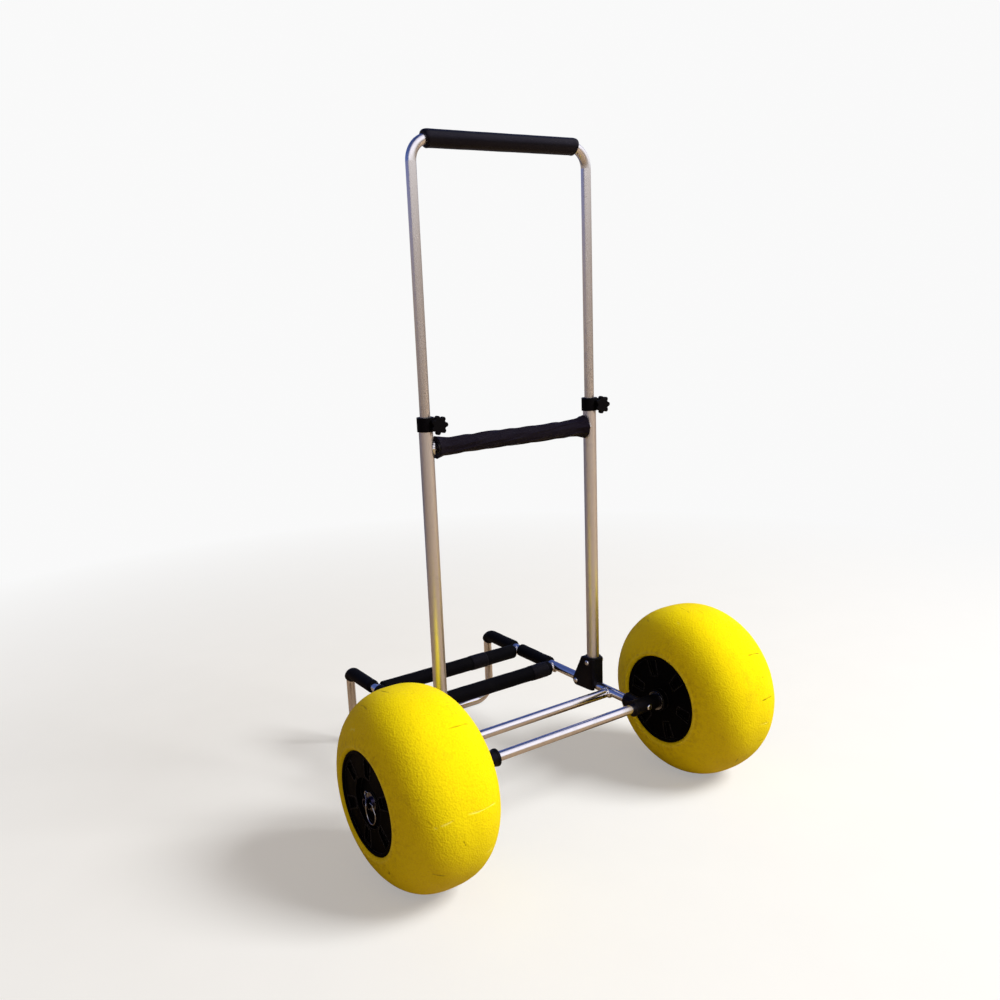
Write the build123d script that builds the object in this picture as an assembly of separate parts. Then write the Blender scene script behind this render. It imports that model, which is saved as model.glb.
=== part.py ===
from build123d import *
import math
import os

# Beach cart, in millimetres. +X is across the cart along the axle, +Y is forward, towards the
# front legs, and +Z is up. The origin is on the ground at the centre of the cart's footprint.

# Overall sizes
WHEEL_RADIUS = 150.0
WHEEL_X = 286.0  # from the middle of the cart to the middle of a wheel
RAIL_X = 162.0  # half the spacing of the rails, the legs and the uprights
LEG_REACH = 466.0  # from the axle forward to the front legs
BED_Z = WHEEL_RADIUS  # the rails lie level with the axle
HANDLE_TOP_Z = 1066.0

# Aluminium tube
TUBE_RADIUS = 8.0
TUBE_WALL = 1.2
TUBE_BORE = TUBE_RADIUS - TUBE_WALL
UPRIGHT_RADIUS = 11.0
UPRIGHT_WALL = 1.5
UPRIGHT_BORE = UPRIGHT_RADIUS - UPRIGHT_WALL
RAIL_BEND = 22.0
FOOT_BEND = 35.0
HANDLE_BEND = 32.0

# Places along the cart
AXLE_Y = (WHEEL_RADIUS - LEG_REACH - TUBE_RADIUS) / 2
LEG_Y = AXLE_Y + LEG_REACH
BARE_BAR_Y = AXLE_Y + 83.0
UPRIGHT_Y = AXLE_Y + 124.0
PIVOT_Y = UPRIGHT_Y + 32.0
REAR_BAR_Y = AXLE_Y + 240.0
FRONT_BAR_Y = AXLE_Y + 356.0
RAIL_END_Y = AXLE_Y + TUBE_RADIUS + 1.0
BAR_DROP = 3.0  # the bed's crossbars sit this far below the rails' axis
BAR_Z = BED_Z - BAR_DROP
BAR_END_X = RAIL_X - 2.0

# Clearances
FIT = 0.05  # around parts that stay put
RUNNING = 0.08  # around parts that turn or slide
REACH = 1.0  # how far a cut runs past the surface it opens

# Foam and fabric
FOAM_ON_BAR = 13.8
FOAM_ON_RAIL = 12.4
FOAM_BAR_HALF = 149.0
FOAM_ROUNDING = 1.5
FRONT_FOAM_ROUNDING = 2.5
FOAM_WRAP_ANGLE = 62.0  # how far the front sleeves follow the rail round its bend
WELD_ROOM = 12.0  # bare tube left beside each welded joint
BAND_WIDTH = 36.0
BAND_THICKNESS = 1.2
FRONT_BAND_X = 63.0
REAR_BAND_X = 123.0
SLEEVE_RADIUS = 13.8
SLEEVE_FLARE = 19.0
SLEEVE_HALF = 147.0
SLEEVE_FLARE_LENGTH = 22.0
GRIP_RADIUS = 13.2
GRIP_HALF = 139.0
GRIP_ROUNDING = 4.5

# Hook holes in the bare crossbar
HOOK_HOLE_RADIUS = 2.5
HOOK_HOLE_X = 144.0

# Axle, its connectors and its pins
AXLE_END_X = 369.5
AXLE_BORE = 6.0
CONNECTOR_RADIUS = 13.0
CONNECTOR_MOUTH_X = 141.0
CONNECTOR_END_X = 195.0
CONNECTOR_RAIL_LENGTH = 34.0
CONNECTOR_RAIL_RADIUS = 12.0
LIP_EXTRA = 1.0
LIP_LENGTH = 3.5
CONNECTOR_SCREW_X = 168.0
CONNECTOR_SCREW_RADIUS = 2.5
SCREW_HEAD_RADIUS = 4.8
SCREW_HEAD_HEIGHT = 2.5
SCREW_HEAD_ROUNDING = 1.5
SCREW_TIP_INSET = 2.0  # the screw stops this far short of the axle's own axis
WASHER_THICKNESS = 1.6
INNER_WASHER_RADIUS = 16.5
OUTER_WASHER_RADIUS = 14.0
WASHER_GAP = 0.2
WIRE_RADIUS = 1.0
EYE_PITCH = 3.2  # how far one turn of the eye would climb outward
PIN_X = 363.5
PIN_BOTTOM = -10.0
EYE_HEIGHT = 13.4
EYE_RADIUS = 3.2
BOW_X = 373.0
# The bow's way round, as distances forward of the axle's axis and above it.
BOW_POINTS = [(-10.5, 4), (-11, -6), (-18, -17), (-28, -18), (-37, -8), (-38, 3), (-32, 11), (-25, 14)]

# Wheels
TYRE_HALF_WIDTH = 90.5
TYRE_CROWN_START = 30.0  # the radius where the tyre's side would be widest
TYRE_SIDE_POWER = 2.5
TYRE_CROWN_POWER = 2.34
TYRE_POINTS = 14
RIM_ROUNDING = 6.0
HUB_RADIUS = 76.5
HUB_WALL = 5.0
HUB_FACE = 79.0  # from the wheel's middle to each hub face
HUB_FACE_THICKNESS = 4.0
HUB_LIP = 82.5
HUB_LIP_ROUNDING = 1.5
DISH_RADIUS = 37.5
DISH_FLOOR = 70.0
DISH_WALL = 2.0
DISH_FLOOR_THICKNESS = 3.0
INNER_BOSS_END = 89.0
INNER_RING_RADIUS = 18.7
BOSS_RADIUS = 14.5
BOSS_LENGTH = 34.0
BUSH_RADIUS = 11.0
BUSH_LENGTH = 30.0
BUSH_FLANGE_RADIUS = 13.5
BUSH_FLANGE = 2.0
POCKETS = 6
POCKET_INNER_R = 41.0
POCKET_OUTER_R = 68.0
POCKET_INNER_WIDTH = 14.0
POCKET_OUTER_WIDTH = 19.0
POCKET_ROUNDING = 3.0
POCKET_WALL = 1.5
POCKET_DEPTH = 5.8
POCKET_LIP = 0.8
LEFT_WHEEL_TURN = 37.0
RIGHT_WHEEL_TURN = 11.0

# Folding hinge brackets
BRACKET_HALF_WIDTH = 14.0
BRACKET_BACK = 12.8  # behind the upright's axis
BRACKET_FRONT_TOP = 16.0  # ahead of the upright's axis, at the top
BRACKET_FRONT_LOW = 23.4
BRACKET_TOP_Z = BED_Z + 51.5
BRACKET_SKIRT_Z = BED_Z - 7.0
CHANNEL_RADIUS = TUBE_RADIUS + 0.3
SOCKET_FLOOR_Z = BED_Z + 12.0
SOCKET_RIM_RADIUS = 14.4
SOCKET_RIM_HEIGHT = 4.0
PIVOT_BOSS = 9.0
NOSE_REACH = 8.1  # the sloping front edge meets the boss this far ahead of the pivot
NOSE_RISE = 4.5  # and this far above it
BRACKET_ROUNDING = 5.0
BOLT_RADIUS = 3.0
BOLT_HEAD_RADIUS = 4.8
BOLT_HEAD_HEIGHT = 3.0
BOLT_HEAD_ROUNDING = 2.4
BOLT_NUT_SIZE = 10.0  # across flats
BOLT_NUT_THICKNESS = 5.0
BOLT_PROUD = 2.0
SOCKET_BOLT_Z = BED_Z + 43.5

# Telescoping handle and its collar clamps
UPRIGHT_TOP_Z = 667.0
UPRIGHT_FOOT_Z = SOCKET_FLOOR_Z + 0.2
MID_BAR_Z = 621.0
COLLAR_BASE_Z = 647.5
COLLAR_TOP_Z = 669.0
COLLAR_RADIUS = 13.2
COLLAR_MOUTH_RADIUS = TUBE_RADIUS + 0.2
EAR_REACH = 21.5
EAR_HALF_DEPTH = 9.0
EAR_MARGIN = 2.0
EAR_ROUNDING = 4.0
SLIT_WIDTH = 3.0
RELIEF_SLOT_DEPTH = 24.0
CLAMP_SCREW_OFFSET = 14.0
CLAMP_SCREW_RADIUS = 2.5
CLAMP_Z = 656.8
CLAMP_NUT_SIZE = 8.0
CLAMP_NUT_THICKNESS = 4.0
GUIDE_LENGTH = 26.0
GUIDE_TOP_Z = UPRIGHT_TOP_Z - 0.5
GUIDE_RADIUS = UPRIGHT_BORE - FIT
LEG_FOOT_Z = 600.0
PLUG_LENGTH = 37.8
PLUG_CAP = 2.0
KNOB_RADIUS = 11.3
KNOB_LOBES = 7
LOBE_RADIUS = 3.6
KNOB_THICKNESS = 6.5
KNOB_CHAMFER = 0.8
KNOB_STEM_RADIUS = 4.2
KNOB_STEM = 4.4
KNOB_GAP = 0.3


def along_x(radius, start, end, y=AXLE_Y, z=BED_Z):
    """A round bar along X between two X places."""
    turned = Rot(0, 90, 0) * Cylinder(radius, end - start)
    return Pos((start + end) / 2, y, z) * turned


def along_y(radius, start, end, x, z=BED_Z):
    """A round bar along Y between two Y places."""
    turned = Rot(90, 0, 0) * Cylinder(radius, end - start)
    return Pos(x, (start + end) / 2, z) * turned


def upright_bar(radius, start, end, x, y):
    """A round bar along Z between two heights."""
    return Pos(x, y, (start + end) / 2) * Cylinder(radius, end - start)


def block(x_range, y_range, z_range):
    """A box between two corners."""
    sizes = [high - low for low, high in (x_range, y_range, z_range)]
    middle = [(high + low) / 2 for low, high in (x_range, y_range, z_range)]
    return Pos(*middle) * Box(*sizes)


def bend(centre, outward, onward, radius, degrees=90.0):
    """An arc about centre that starts on the outward side and heads onward."""

    def point(angle):
        turn = math.radians(angle)
        return centre + outward * (radius * math.cos(turn)) + onward * (radius * math.sin(turn))

    return Edge.make_three_point_arc(point(0), point(degrees / 2), point(degrees))


def bent_path(corners, radii):
    """Straight runs between corners, with each right-angled corner rounded by its radius."""
    corners = [Vector(*corner) for corner in corners]
    edges = []
    start = corners[0]
    for before, corner, after, radius in zip(corners, corners[1:], corners[2:], radii):
        back = (before - corner).normalized()
        onward = (after - corner).normalized()
        edges.append(Edge.make_line(start, corner + back * radius))
        edges.append(bend(corner + (back + onward) * radius, onward * -1, back * -1, radius))
        start = corner + onward * radius
    edges.append(Edge.make_line(start, corners[-1]))
    return Wire(edges)


def rod(path, radius):
    """A round bar along a path."""
    return sweep(Plane(origin=path @ 0, z_dir=path % 0) * Circle(radius), path=path)


def pipe(path, outer, inner):
    """A round tube along a path."""
    return rod(path, outer) - rod(path, inner)


def round_outer_ends(part, radius, size):
    """Round the outer edge at both ends of a sleeve of this radius."""
    rims = [
        edge
        for edge in part.edges().filter_by(GeomType.CIRCLE)
        if abs(edge.radius - radius) < FIT and edge.is_closed
    ]
    return fillet(rims, size)


def write(name, shape):
    export_step(shape, f"parts/{name}.step")


def write_pair(name, right):
    """The right-hand piece and its mirror image."""
    write(f"{name}_right", right)
    write(f"{name}_left", mirror(right, about=Plane.YZ))


def both_sides(right):
    """The right-hand solids and their mirror images, as one group."""
    return Compound([*right.solids(), *mirror(right, about=Plane.YZ).solids()])


# ---- Base frame ----


def rail_holes():
    """The fold bolts' holes through both rails."""
    reach = RAIL_X + UPRIGHT_RADIUS
    return along_x(BOLT_RADIUS + FIT, -reach, reach, PIVOT_Y)


def base_tube():
    """One tube bent into both rails, both front legs and the foot bar."""
    corners = [
        (-RAIL_X, RAIL_END_Y, BED_Z),
        (-RAIL_X, LEG_Y, BED_Z),
        (-RAIL_X, LEG_Y, TUBE_RADIUS),
        (RAIL_X, LEG_Y, TUBE_RADIUS),
        (RAIL_X, LEG_Y, BED_Z),
        (RAIL_X, RAIL_END_Y, BED_Z),
    ]
    path = bent_path(corners, [RAIL_BEND, FOOT_BEND, FOOT_BEND, RAIL_BEND])
    return pipe(path, TUBE_RADIUS, TUBE_BORE) - rail_holes()


def crossbar(y):
    """A tube between the rails, with its ends cut to sit round them."""
    bar = along_x(TUBE_RADIUS, -BAR_END_X, BAR_END_X, y, BAR_Z)
    bar -= along_x(TUBE_BORE, -BAR_END_X, BAR_END_X, y, BAR_Z)
    for side in (-1, 1):
        bar -= along_y(TUBE_RADIUS + FIT, y - 2 * TUBE_RADIUS, y + 2 * TUBE_RADIUS, side * RAIL_X)
    return bar


def bare_crossbar():
    """The rear crossbar, with its two hook holes."""
    bar = crossbar(BARE_BAR_Y)
    reach = TUBE_RADIUS + REACH
    for side in (-1, 1):
        hole_x = side * HOOK_HOLE_X
        bar -= along_y(HOOK_HOLE_RADIUS, BARE_BAR_Y - reach, BARE_BAR_Y + reach, hole_x, BAR_Z)
    return bar


def axle_tube():
    """The axle, with a cross hole for a wire pin near each end and one for each screw."""
    axle = along_x(TUBE_RADIUS, -AXLE_END_X, AXLE_END_X) - along_x(AXLE_BORE, -AXLE_END_X, AXLE_END_X)
    reach = TUBE_RADIUS + REACH
    for side in (-1, 1):
        hole_radius = WIRE_RADIUS + RUNNING
        axle -= upright_bar(hole_radius, BED_Z - reach, BED_Z + reach, side * PIN_X, AXLE_Y)
        screw_x = side * CONNECTOR_SCREW_X
        axle -= along_y(CONNECTOR_SCREW_RADIUS + FIT, AXLE_Y - reach, AXLE_Y, screw_x)
    return axle


def bar_foam(y):
    """The foam sleeve on a crossbar."""
    sleeve = along_x(FOAM_ON_BAR, -FOAM_BAR_HALF, FOAM_BAR_HALF, y, BAR_Z)
    sleeve -= along_x(TUBE_RADIUS + FIT, -FOAM_BAR_HALF, FOAM_BAR_HALF, y, BAR_Z)
    return round_outer_ends(sleeve, FOAM_ON_BAR, FOAM_ROUNDING)


def wrap_band(centre_x, y):
    """A woven band wrapped round a foam sleeve."""
    start = centre_x - BAND_WIDTH / 2
    band = along_x(FOAM_ON_BAR + FIT + BAND_THICKNESS, start, start + BAND_WIDTH, y, BAR_Z)
    return band - along_x(FOAM_ON_BAR + FIT, start, start + BAND_WIDTH, y, BAR_Z)


def rail_middle_foam():
    """The foam on a rail between the two foam crossbars."""
    start = REAR_BAR_Y + WELD_ROOM
    end = FRONT_BAR_Y - WELD_ROOM
    sleeve = along_y(FOAM_ON_RAIL, start, end, RAIL_X) - along_y(TUBE_RADIUS + FIT, start, end, RAIL_X)
    return round_outer_ends(sleeve, FOAM_ON_RAIL, FOAM_ROUNDING)


def rail_front_foam():
    """The foam on a rail's front end, following the tube most of the way round its bend."""
    start = Vector(RAIL_X, FRONT_BAR_Y + WELD_ROOM, BED_Z)
    bend_start = Vector(RAIL_X, LEG_Y - RAIL_BEND, BED_Z)
    centre = bend_start - Vector(0, 0, RAIL_BEND)
    path = Wire(
        [
            Edge.make_line(start, bend_start),
            bend(centre, Vector(0, 0, 1), Vector(0, 1, 0), RAIL_BEND, FOAM_WRAP_ANGLE),
        ]
    )
    sleeve = pipe(path, FOAM_ON_RAIL, TUBE_RADIUS + FIT)
    return round_outer_ends(sleeve, FOAM_ON_RAIL, FRONT_FOAM_ROUNDING)


def axle_connector():
    """The plastic tee that joins a rail's rear end to the axle."""
    rail_mouth = AXLE_Y + CONNECTOR_RAIL_LENGTH
    lip_radius = CONNECTOR_RADIUS + LIP_EXTRA
    tee = along_x(CONNECTOR_RADIUS, CONNECTOR_MOUTH_X, CONNECTOR_END_X)
    tee += along_y(CONNECTOR_RAIL_RADIUS, AXLE_Y, rail_mouth, RAIL_X)
    tee += along_y(CONNECTOR_RAIL_RADIUS + LIP_EXTRA, rail_mouth - LIP_LENGTH, rail_mouth, RAIL_X)
    tee += along_x(lip_radius, CONNECTOR_MOUTH_X, CONNECTOR_MOUTH_X + LIP_LENGTH)
    tee -= along_x(TUBE_RADIUS + FIT, CONNECTOR_MOUTH_X, CONNECTOR_END_X)
    tee -= along_y(TUBE_RADIUS + FIT, RAIL_END_Y - FIT, rail_mouth, RAIL_X)
    back = AXLE_Y - lip_radius
    tee -= along_y(CONNECTOR_SCREW_RADIUS + FIT, back, AXLE_Y, CONNECTOR_SCREW_X)
    return tee


def connector_screw():
    """The screw that pins the axle in a connector, from behind."""
    head_start = AXLE_Y - CONNECTOR_RADIUS - SCREW_HEAD_HEIGHT
    head_end = AXLE_Y - CONNECTOR_RADIUS - FIT
    head = along_y(SCREW_HEAD_RADIUS, head_start, head_end, CONNECTOR_SCREW_X)
    head = fillet(head.edges().group_by(Axis.Y)[0], SCREW_HEAD_ROUNDING)
    tip = AXLE_Y - SCREW_TIP_INSET
    return head + along_y(CONNECTOR_SCREW_RADIUS, head_end - REACH, tip, CONNECTOR_SCREW_X)


def ring_on_axle(outer, inner, start, end):
    return along_x(outer, start, end) - along_x(inner, start, end)


def thrust_washers():
    """The right wheel's inner and outer washers."""
    inner_start = CONNECTOR_END_X + WASHER_GAP
    outer_start = WHEEL_X + DISH_FLOOR + BUSH_FLANGE + WASHER_GAP
    bore = TUBE_RADIUS + FIT
    inner = ring_on_axle(INNER_WASHER_RADIUS, bore, inner_start, inner_start + WASHER_THICKNESS)
    outer = ring_on_axle(OUTER_WASHER_RADIUS, bore, outer_start, outer_start + WASHER_THICKNESS)
    return Compound([*inner.solids(), *outer.solids()])


def wire_pin():
    """The right wheel's locking pin: a straight leg, an eye and a bow, bent from one wire."""
    leg_top = Vector(PIN_X, AXLE_Y, BED_Z + EYE_HEIGHT)
    leg = Edge.make_line(Vector(PIN_X, AXLE_Y, BED_Z + PIN_BOTTOM), leg_top)
    eye = []
    # The eye turns three quarters of the way round and leaves past the leg, outside it.
    for angle in range(45, 271, 45):
        turn = math.radians(angle)
        y = AXLE_Y + EYE_RADIUS * (1 - math.cos(turn))
        z = BED_Z + EYE_HEIGHT + EYE_RADIUS * math.sin(turn)
        eye.append(Vector(PIN_X + EYE_PITCH * angle / 360, y, z))
    bow = [Vector(BOW_X, AXLE_Y + y, BED_Z + z) for y, z in BOW_POINTS]
    tangents = [Vector(0, 0, EYE_RADIUS), Vector(0, EYE_RADIUS, 0)]
    curve = Edge.make_spline([leg_top, *eye, *bow], tangents=tangents, scale=False)
    return rod(Wire([leg, curve]), WIRE_RADIUS)


# ---- Hinge brackets and their bolts ----


def hinge_bracket():
    """The casting that holds an upright's foot, straddles the rail and folds on its front bolt."""
    back = UPRIGHT_Y - BRACKET_BACK
    outline = Polyline(
        (back, BRACKET_SKIRT_Z),
        (back, BRACKET_TOP_Z),
        (UPRIGHT_Y + BRACKET_FRONT_TOP, BRACKET_TOP_Z),
        (PIVOT_Y + NOSE_REACH, BED_Z + NOSE_RISE),
        (PIVOT_Y, BED_Z - PIVOT_BOSS),
        close=True,
    )
    width = 2 * BRACKET_HALF_WIDTH
    side = Plane(origin=(RAIL_X - BRACKET_HALF_WIDTH, 0, 0), x_dir=(0, 1, 0), z_dir=(1, 0, 0))
    body = extrude(side * make_face(outline), width)
    inner = RAIL_X - BRACKET_HALF_WIDTH
    outer = RAIL_X + BRACKET_HALF_WIDTH
    body += along_x(PIVOT_BOSS, inner, outer, PIVOT_Y)
    body = fillet(body.edges().filter_by(Axis.Z), BRACKET_ROUNDING)
    rim_base = BRACKET_TOP_Z - SOCKET_RIM_HEIGHT / 2
    rim_top = BRACKET_TOP_Z + SOCKET_RIM_HEIGHT / 2
    body += upright_bar(SOCKET_RIM_RADIUS, rim_base, rim_top, RAIL_X, UPRIGHT_Y)
    # The channel over the rail, with a round roof, and the slot between the cheeks.
    far_front = PIVOT_Y + 2 * PIVOT_BOSS
    far_back = back - REACH
    body -= along_y(CHANNEL_RADIUS, far_back, far_front, RAIL_X)
    channel = (RAIL_X - CHANNEL_RADIUS, RAIL_X + CHANNEL_RADIUS)
    body -= block(channel, (far_back, far_front), (BED_Z - 2 * PIVOT_BOSS, BED_Z))
    body -= block(channel, (UPRIGHT_Y + BRACKET_FRONT_LOW, far_front), (BED_Z, BRACKET_TOP_Z))
    # The socket for the upright, and the two bolt holes.
    body -= upright_bar(UPRIGHT_RADIUS + FIT, SOCKET_FLOOR_Z, rim_top, RAIL_X, UPRIGHT_Y)
    body -= along_x(BOLT_RADIUS + RUNNING, inner - REACH, outer + REACH, PIVOT_Y)
    body -= along_x(BOLT_RADIUS + FIT, inner - REACH, outer + REACH, UPRIGHT_Y, SOCKET_BOLT_Z)
    return body


def bracket_bolt(y, z):
    """A bolt through the right bracket, with its domed head on the inner side."""
    face = RAIL_X - BRACKET_HALF_WIDTH - RUNNING
    head = along_x(BOLT_HEAD_RADIUS, face - BOLT_HEAD_HEIGHT, face, y, z)
    head = fillet(head.edges().group_by(Axis.X)[0], BOLT_HEAD_ROUNDING)
    end = RAIL_X + BRACKET_HALF_WIDTH + BOLT_NUT_THICKNESS + BOLT_PROUD
    return head + along_x(BOLT_RADIUS, face - REACH, end, y, z)


def hex_nut(bore, size, thickness):
    """A hexagon nut about the Z axis, of a size across its flats."""
    corner_radius = size / math.sqrt(3)
    return extrude(RegularPolygon(corner_radius, 6) - Circle(bore), thickness)


def bracket_nut(y, z):
    """The nut on a bracket bolt's outer end."""
    nut = Rot(0, 90, 0) * hex_nut(BOLT_RADIUS + FIT, BOLT_NUT_SIZE, BOLT_NUT_THICKNESS)
    return Pos(RAIL_X + BRACKET_HALF_WIDTH + RUNNING, y, z) * nut


# ---- Uprights and clamps ----


def lower_tube():
    """A lower upright, with its bolt hole and the relief slot its collar closes."""
    tube = upright_bar(UPRIGHT_RADIUS, UPRIGHT_FOOT_Z, UPRIGHT_TOP_Z, RAIL_X, UPRIGHT_Y)
    tube -= upright_bar(UPRIGHT_BORE, UPRIGHT_FOOT_Z, UPRIGHT_TOP_Z, RAIL_X, UPRIGHT_Y)
    reach = UPRIGHT_RADIUS + REACH
    tube -= along_x(BOLT_RADIUS + FIT, RAIL_X - reach, RAIL_X + reach, UPRIGHT_Y, SOCKET_BOLT_Z)
    return tube


def relief_slot(tube_x):
    """The slot that lets an upright's mouth close on the handle, facing the clamp screw."""
    slot_y = (UPRIGHT_Y - SLIT_WIDTH / 4, UPRIGHT_Y + SLIT_WIDTH / 4)
    slot_z = (UPRIGHT_TOP_Z - RELIEF_SLOT_DEPTH, UPRIGHT_TOP_Z + REACH)
    return block((tube_x + UPRIGHT_BORE - REACH, tube_x + UPRIGHT_RADIUS + REACH), slot_y, slot_z)


def middle_bar():
    """The crossbar welded between the lower uprights."""
    bar = along_x(TUBE_RADIUS, -RAIL_X, RAIL_X, UPRIGHT_Y, MID_BAR_Z)
    bar -= along_x(TUBE_BORE, -RAIL_X, RAIL_X, UPRIGHT_Y, MID_BAR_Z)
    for side in (-1, 1):
        low = MID_BAR_Z - 2 * TUBE_RADIUS
        high = MID_BAR_Z + 2 * TUBE_RADIUS
        bar -= upright_bar(UPRIGHT_RADIUS + FIT, low, high, side * RAIL_X, UPRIGHT_Y)
    return bar


def middle_sleeve():
    """The padded fabric sleeve on the middle crossbar, flared at both ends."""
    neck = SLEEVE_HALF - SLEEVE_FLARE_LENGTH
    outline = Polyline(
        (-SLEEVE_HALF, TUBE_RADIUS + FIT),
        (-SLEEVE_HALF, SLEEVE_FLARE),
        (-neck, SLEEVE_RADIUS),
        (neck, SLEEVE_RADIUS),
        (SLEEVE_HALF, SLEEVE_FLARE),
        (SLEEVE_HALF, TUBE_RADIUS + FIT),
        close=True,
    )
    upright_plane = Plane(origin=(0, 0, 0), x_dir=(1, 0, 0), z_dir=(0, -1, 0))
    sleeve = revolve(upright_plane * make_face(outline), Axis.X)
    return Pos(0, UPRIGHT_Y, MID_BAR_Z) * sleeve


def collar(tube_x):
    """A split collar with two ears, which squeezes an upright's mouth."""
    body = upright_bar(COLLAR_RADIUS, COLLAR_BASE_Z, COLLAR_TOP_Z, tube_x, UPRIGHT_Y)
    ear_y = (UPRIGHT_Y - EAR_HALF_DEPTH, UPRIGHT_Y + EAR_HALF_DEPTH)
    ear_z = (COLLAR_BASE_Z + EAR_MARGIN, COLLAR_TOP_Z - EAR_MARGIN)
    ears = block((tube_x + UPRIGHT_BORE, tube_x + EAR_REACH), ear_y, ear_z)
    ears = fillet(ears.edges().filter_by(Axis.Y).group_by(Axis.X)[-1], EAR_ROUNDING)
    body += ears
    body -= upright_bar(UPRIGHT_RADIUS + FIT, COLLAR_BASE_Z, UPRIGHT_TOP_Z + FIT, tube_x, UPRIGHT_Y)
    body -= upright_bar(COLLAR_MOUTH_RADIUS, UPRIGHT_TOP_Z, COLLAR_TOP_Z, tube_x, UPRIGHT_Y)
    slit_y = (UPRIGHT_Y - SLIT_WIDTH / 2, UPRIGHT_Y + SLIT_WIDTH / 2)
    body -= block((tube_x, tube_x + EAR_REACH + REACH), slit_y, (COLLAR_BASE_Z, COLLAR_TOP_Z))
    screw_x = tube_x + CLAMP_SCREW_OFFSET
    reach = EAR_HALF_DEPTH + REACH
    hole_radius = CLAMP_SCREW_RADIUS + RUNNING
    body -= along_y(hole_radius, UPRIGHT_Y - reach, UPRIGHT_Y + reach, screw_x, CLAMP_Z)
    return body


def clamp_nut(tube_x):
    """The nut on the front ear of a collar."""
    bore = CLAMP_SCREW_RADIUS + RUNNING
    # A twelfth of a turn puts one of the nut's flats against the collar's ring.
    nut = Rot(-90, 0, 0) * (Rot(0, 0, 30) * hex_nut(bore, CLAMP_NUT_SIZE, CLAMP_NUT_THICKNESS))
    return Pos(tube_x + CLAMP_SCREW_OFFSET, UPRIGHT_Y + EAR_HALF_DEPTH + FIT, CLAMP_Z) * nut


def star_knob(tube_x):
    """The star knob that turns a clamp screw, behind the collar."""
    outline = Circle(KNOB_RADIUS)
    for lobe in range(KNOB_LOBES):
        turn = 2 * math.pi * lobe / KNOB_LOBES
        outline += Pos(KNOB_RADIUS * math.cos(turn), KNOB_RADIUS * math.sin(turn)) * Circle(LOBE_RADIUS)
    knob = extrude(outline, KNOB_THICKNESS)
    knob = chamfer(knob.faces().sort_by(Axis.Z)[-1].edges(), KNOB_CHAMFER)
    knob += Pos(0, 0, -KNOB_STEM / 2) * Cylinder(KNOB_STEM_RADIUS, KNOB_STEM)
    socket_length = KNOB_STEM + KNOB_THICKNESS / 2
    socket = Cylinder(CLAMP_SCREW_RADIUS + FIT, socket_length)
    knob -= Pos(0, 0, socket_length / 2 - KNOB_STEM) * socket
    back_face = UPRIGHT_Y - EAR_HALF_DEPTH - KNOB_GAP - KNOB_STEM
    return Pos(tube_x + CLAMP_SCREW_OFFSET, back_face, CLAMP_Z) * (Rot(90, 0, 0) * knob)


def clamp_screw(tube_x):
    """The screw moulded into a star knob."""
    start = UPRIGHT_Y - EAR_HALF_DEPTH - KNOB_GAP - KNOB_STEM - KNOB_THICKNESS / 2 + FIT
    end = UPRIGHT_Y + EAR_HALF_DEPTH + CLAMP_NUT_THICKNESS + BOLT_PROUD
    return along_y(CLAMP_SCREW_RADIUS, start, end, tube_x + CLAMP_SCREW_OFFSET, CLAMP_Z)


def tube_ring(outer, inner, start, end):
    """A ring about the right upright's axis."""
    ring = upright_bar(outer, start, end, RAIL_X, UPRIGHT_Y)
    return ring - upright_bar(inner, start, end, RAIL_X, UPRIGHT_Y)


def guide_bush():
    """The bush in an upright's mouth that the handle leg slides in."""
    return tube_ring(GUIDE_RADIUS, TUBE_RADIUS + RUNNING, GUIDE_TOP_Z - GUIDE_LENGTH, GUIDE_TOP_Z)


# ---- Handle ----


def handle_tube():
    """The U tube that slides in both uprights."""
    corners = [
        (-RAIL_X, UPRIGHT_Y, LEG_FOOT_Z),
        (-RAIL_X, UPRIGHT_Y, HANDLE_TOP_Z),
        (RAIL_X, UPRIGHT_Y, HANDLE_TOP_Z),
        (RAIL_X, UPRIGHT_Y, LEG_FOOT_Z),
    ]
    return pipe(bent_path(corners, [HANDLE_BEND, HANDLE_BEND]), TUBE_RADIUS, TUBE_BORE)


def handle_grip():
    """The foam grip, which reaches a little way round both bends."""
    straight = RAIL_X - HANDLE_BEND
    angle = math.degrees(math.asin((GRIP_HALF - straight) / HANDLE_BEND))
    left = Vector(-straight, UPRIGHT_Y, HANDLE_TOP_Z)
    right = Vector(straight, UPRIGHT_Y, HANDLE_TOP_Z)
    drop = Vector(0, 0, HANDLE_BEND)
    up = Vector(0, 0, 1)
    left_bend = bend(left - drop, up, Vector(-1, 0, 0), HANDLE_BEND, angle).reversed()
    right_bend = bend(right - drop, up, Vector(1, 0, 0), HANDLE_BEND, angle)
    path = Wire([left_bend, Edge.make_line(left, right), right_bend])
    return round_outer_ends(pipe(path, GRIP_RADIUS, TUBE_RADIUS + FIT), GRIP_RADIUS, GRIP_ROUNDING)


def guide_plug():
    """The capped plug on a handle leg's lower end, which guides it and stops it pulling out."""
    plug_foot = LEG_FOOT_Z - PLUG_CAP - FIT
    plug = upright_bar(GUIDE_RADIUS, plug_foot, LEG_FOOT_Z + PLUG_LENGTH, RAIL_X, UPRIGHT_Y)
    top = LEG_FOOT_Z + PLUG_LENGTH
    return plug - upright_bar(TUBE_RADIUS + FIT, LEG_FOOT_Z - FIT, top, RAIL_X, UPRIGHT_Y)


# ---- Wheels, built about the X axis with +X outward, then placed ----


def wheel_ring(outer, inner, start, end):
    ring = Rot(0, 90, 0) * Cylinder(outer, end - start) - Rot(0, 90, 0) * Cylinder(inner, end - start)
    return Pos((start + end) / 2, 0, 0) * ring


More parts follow.
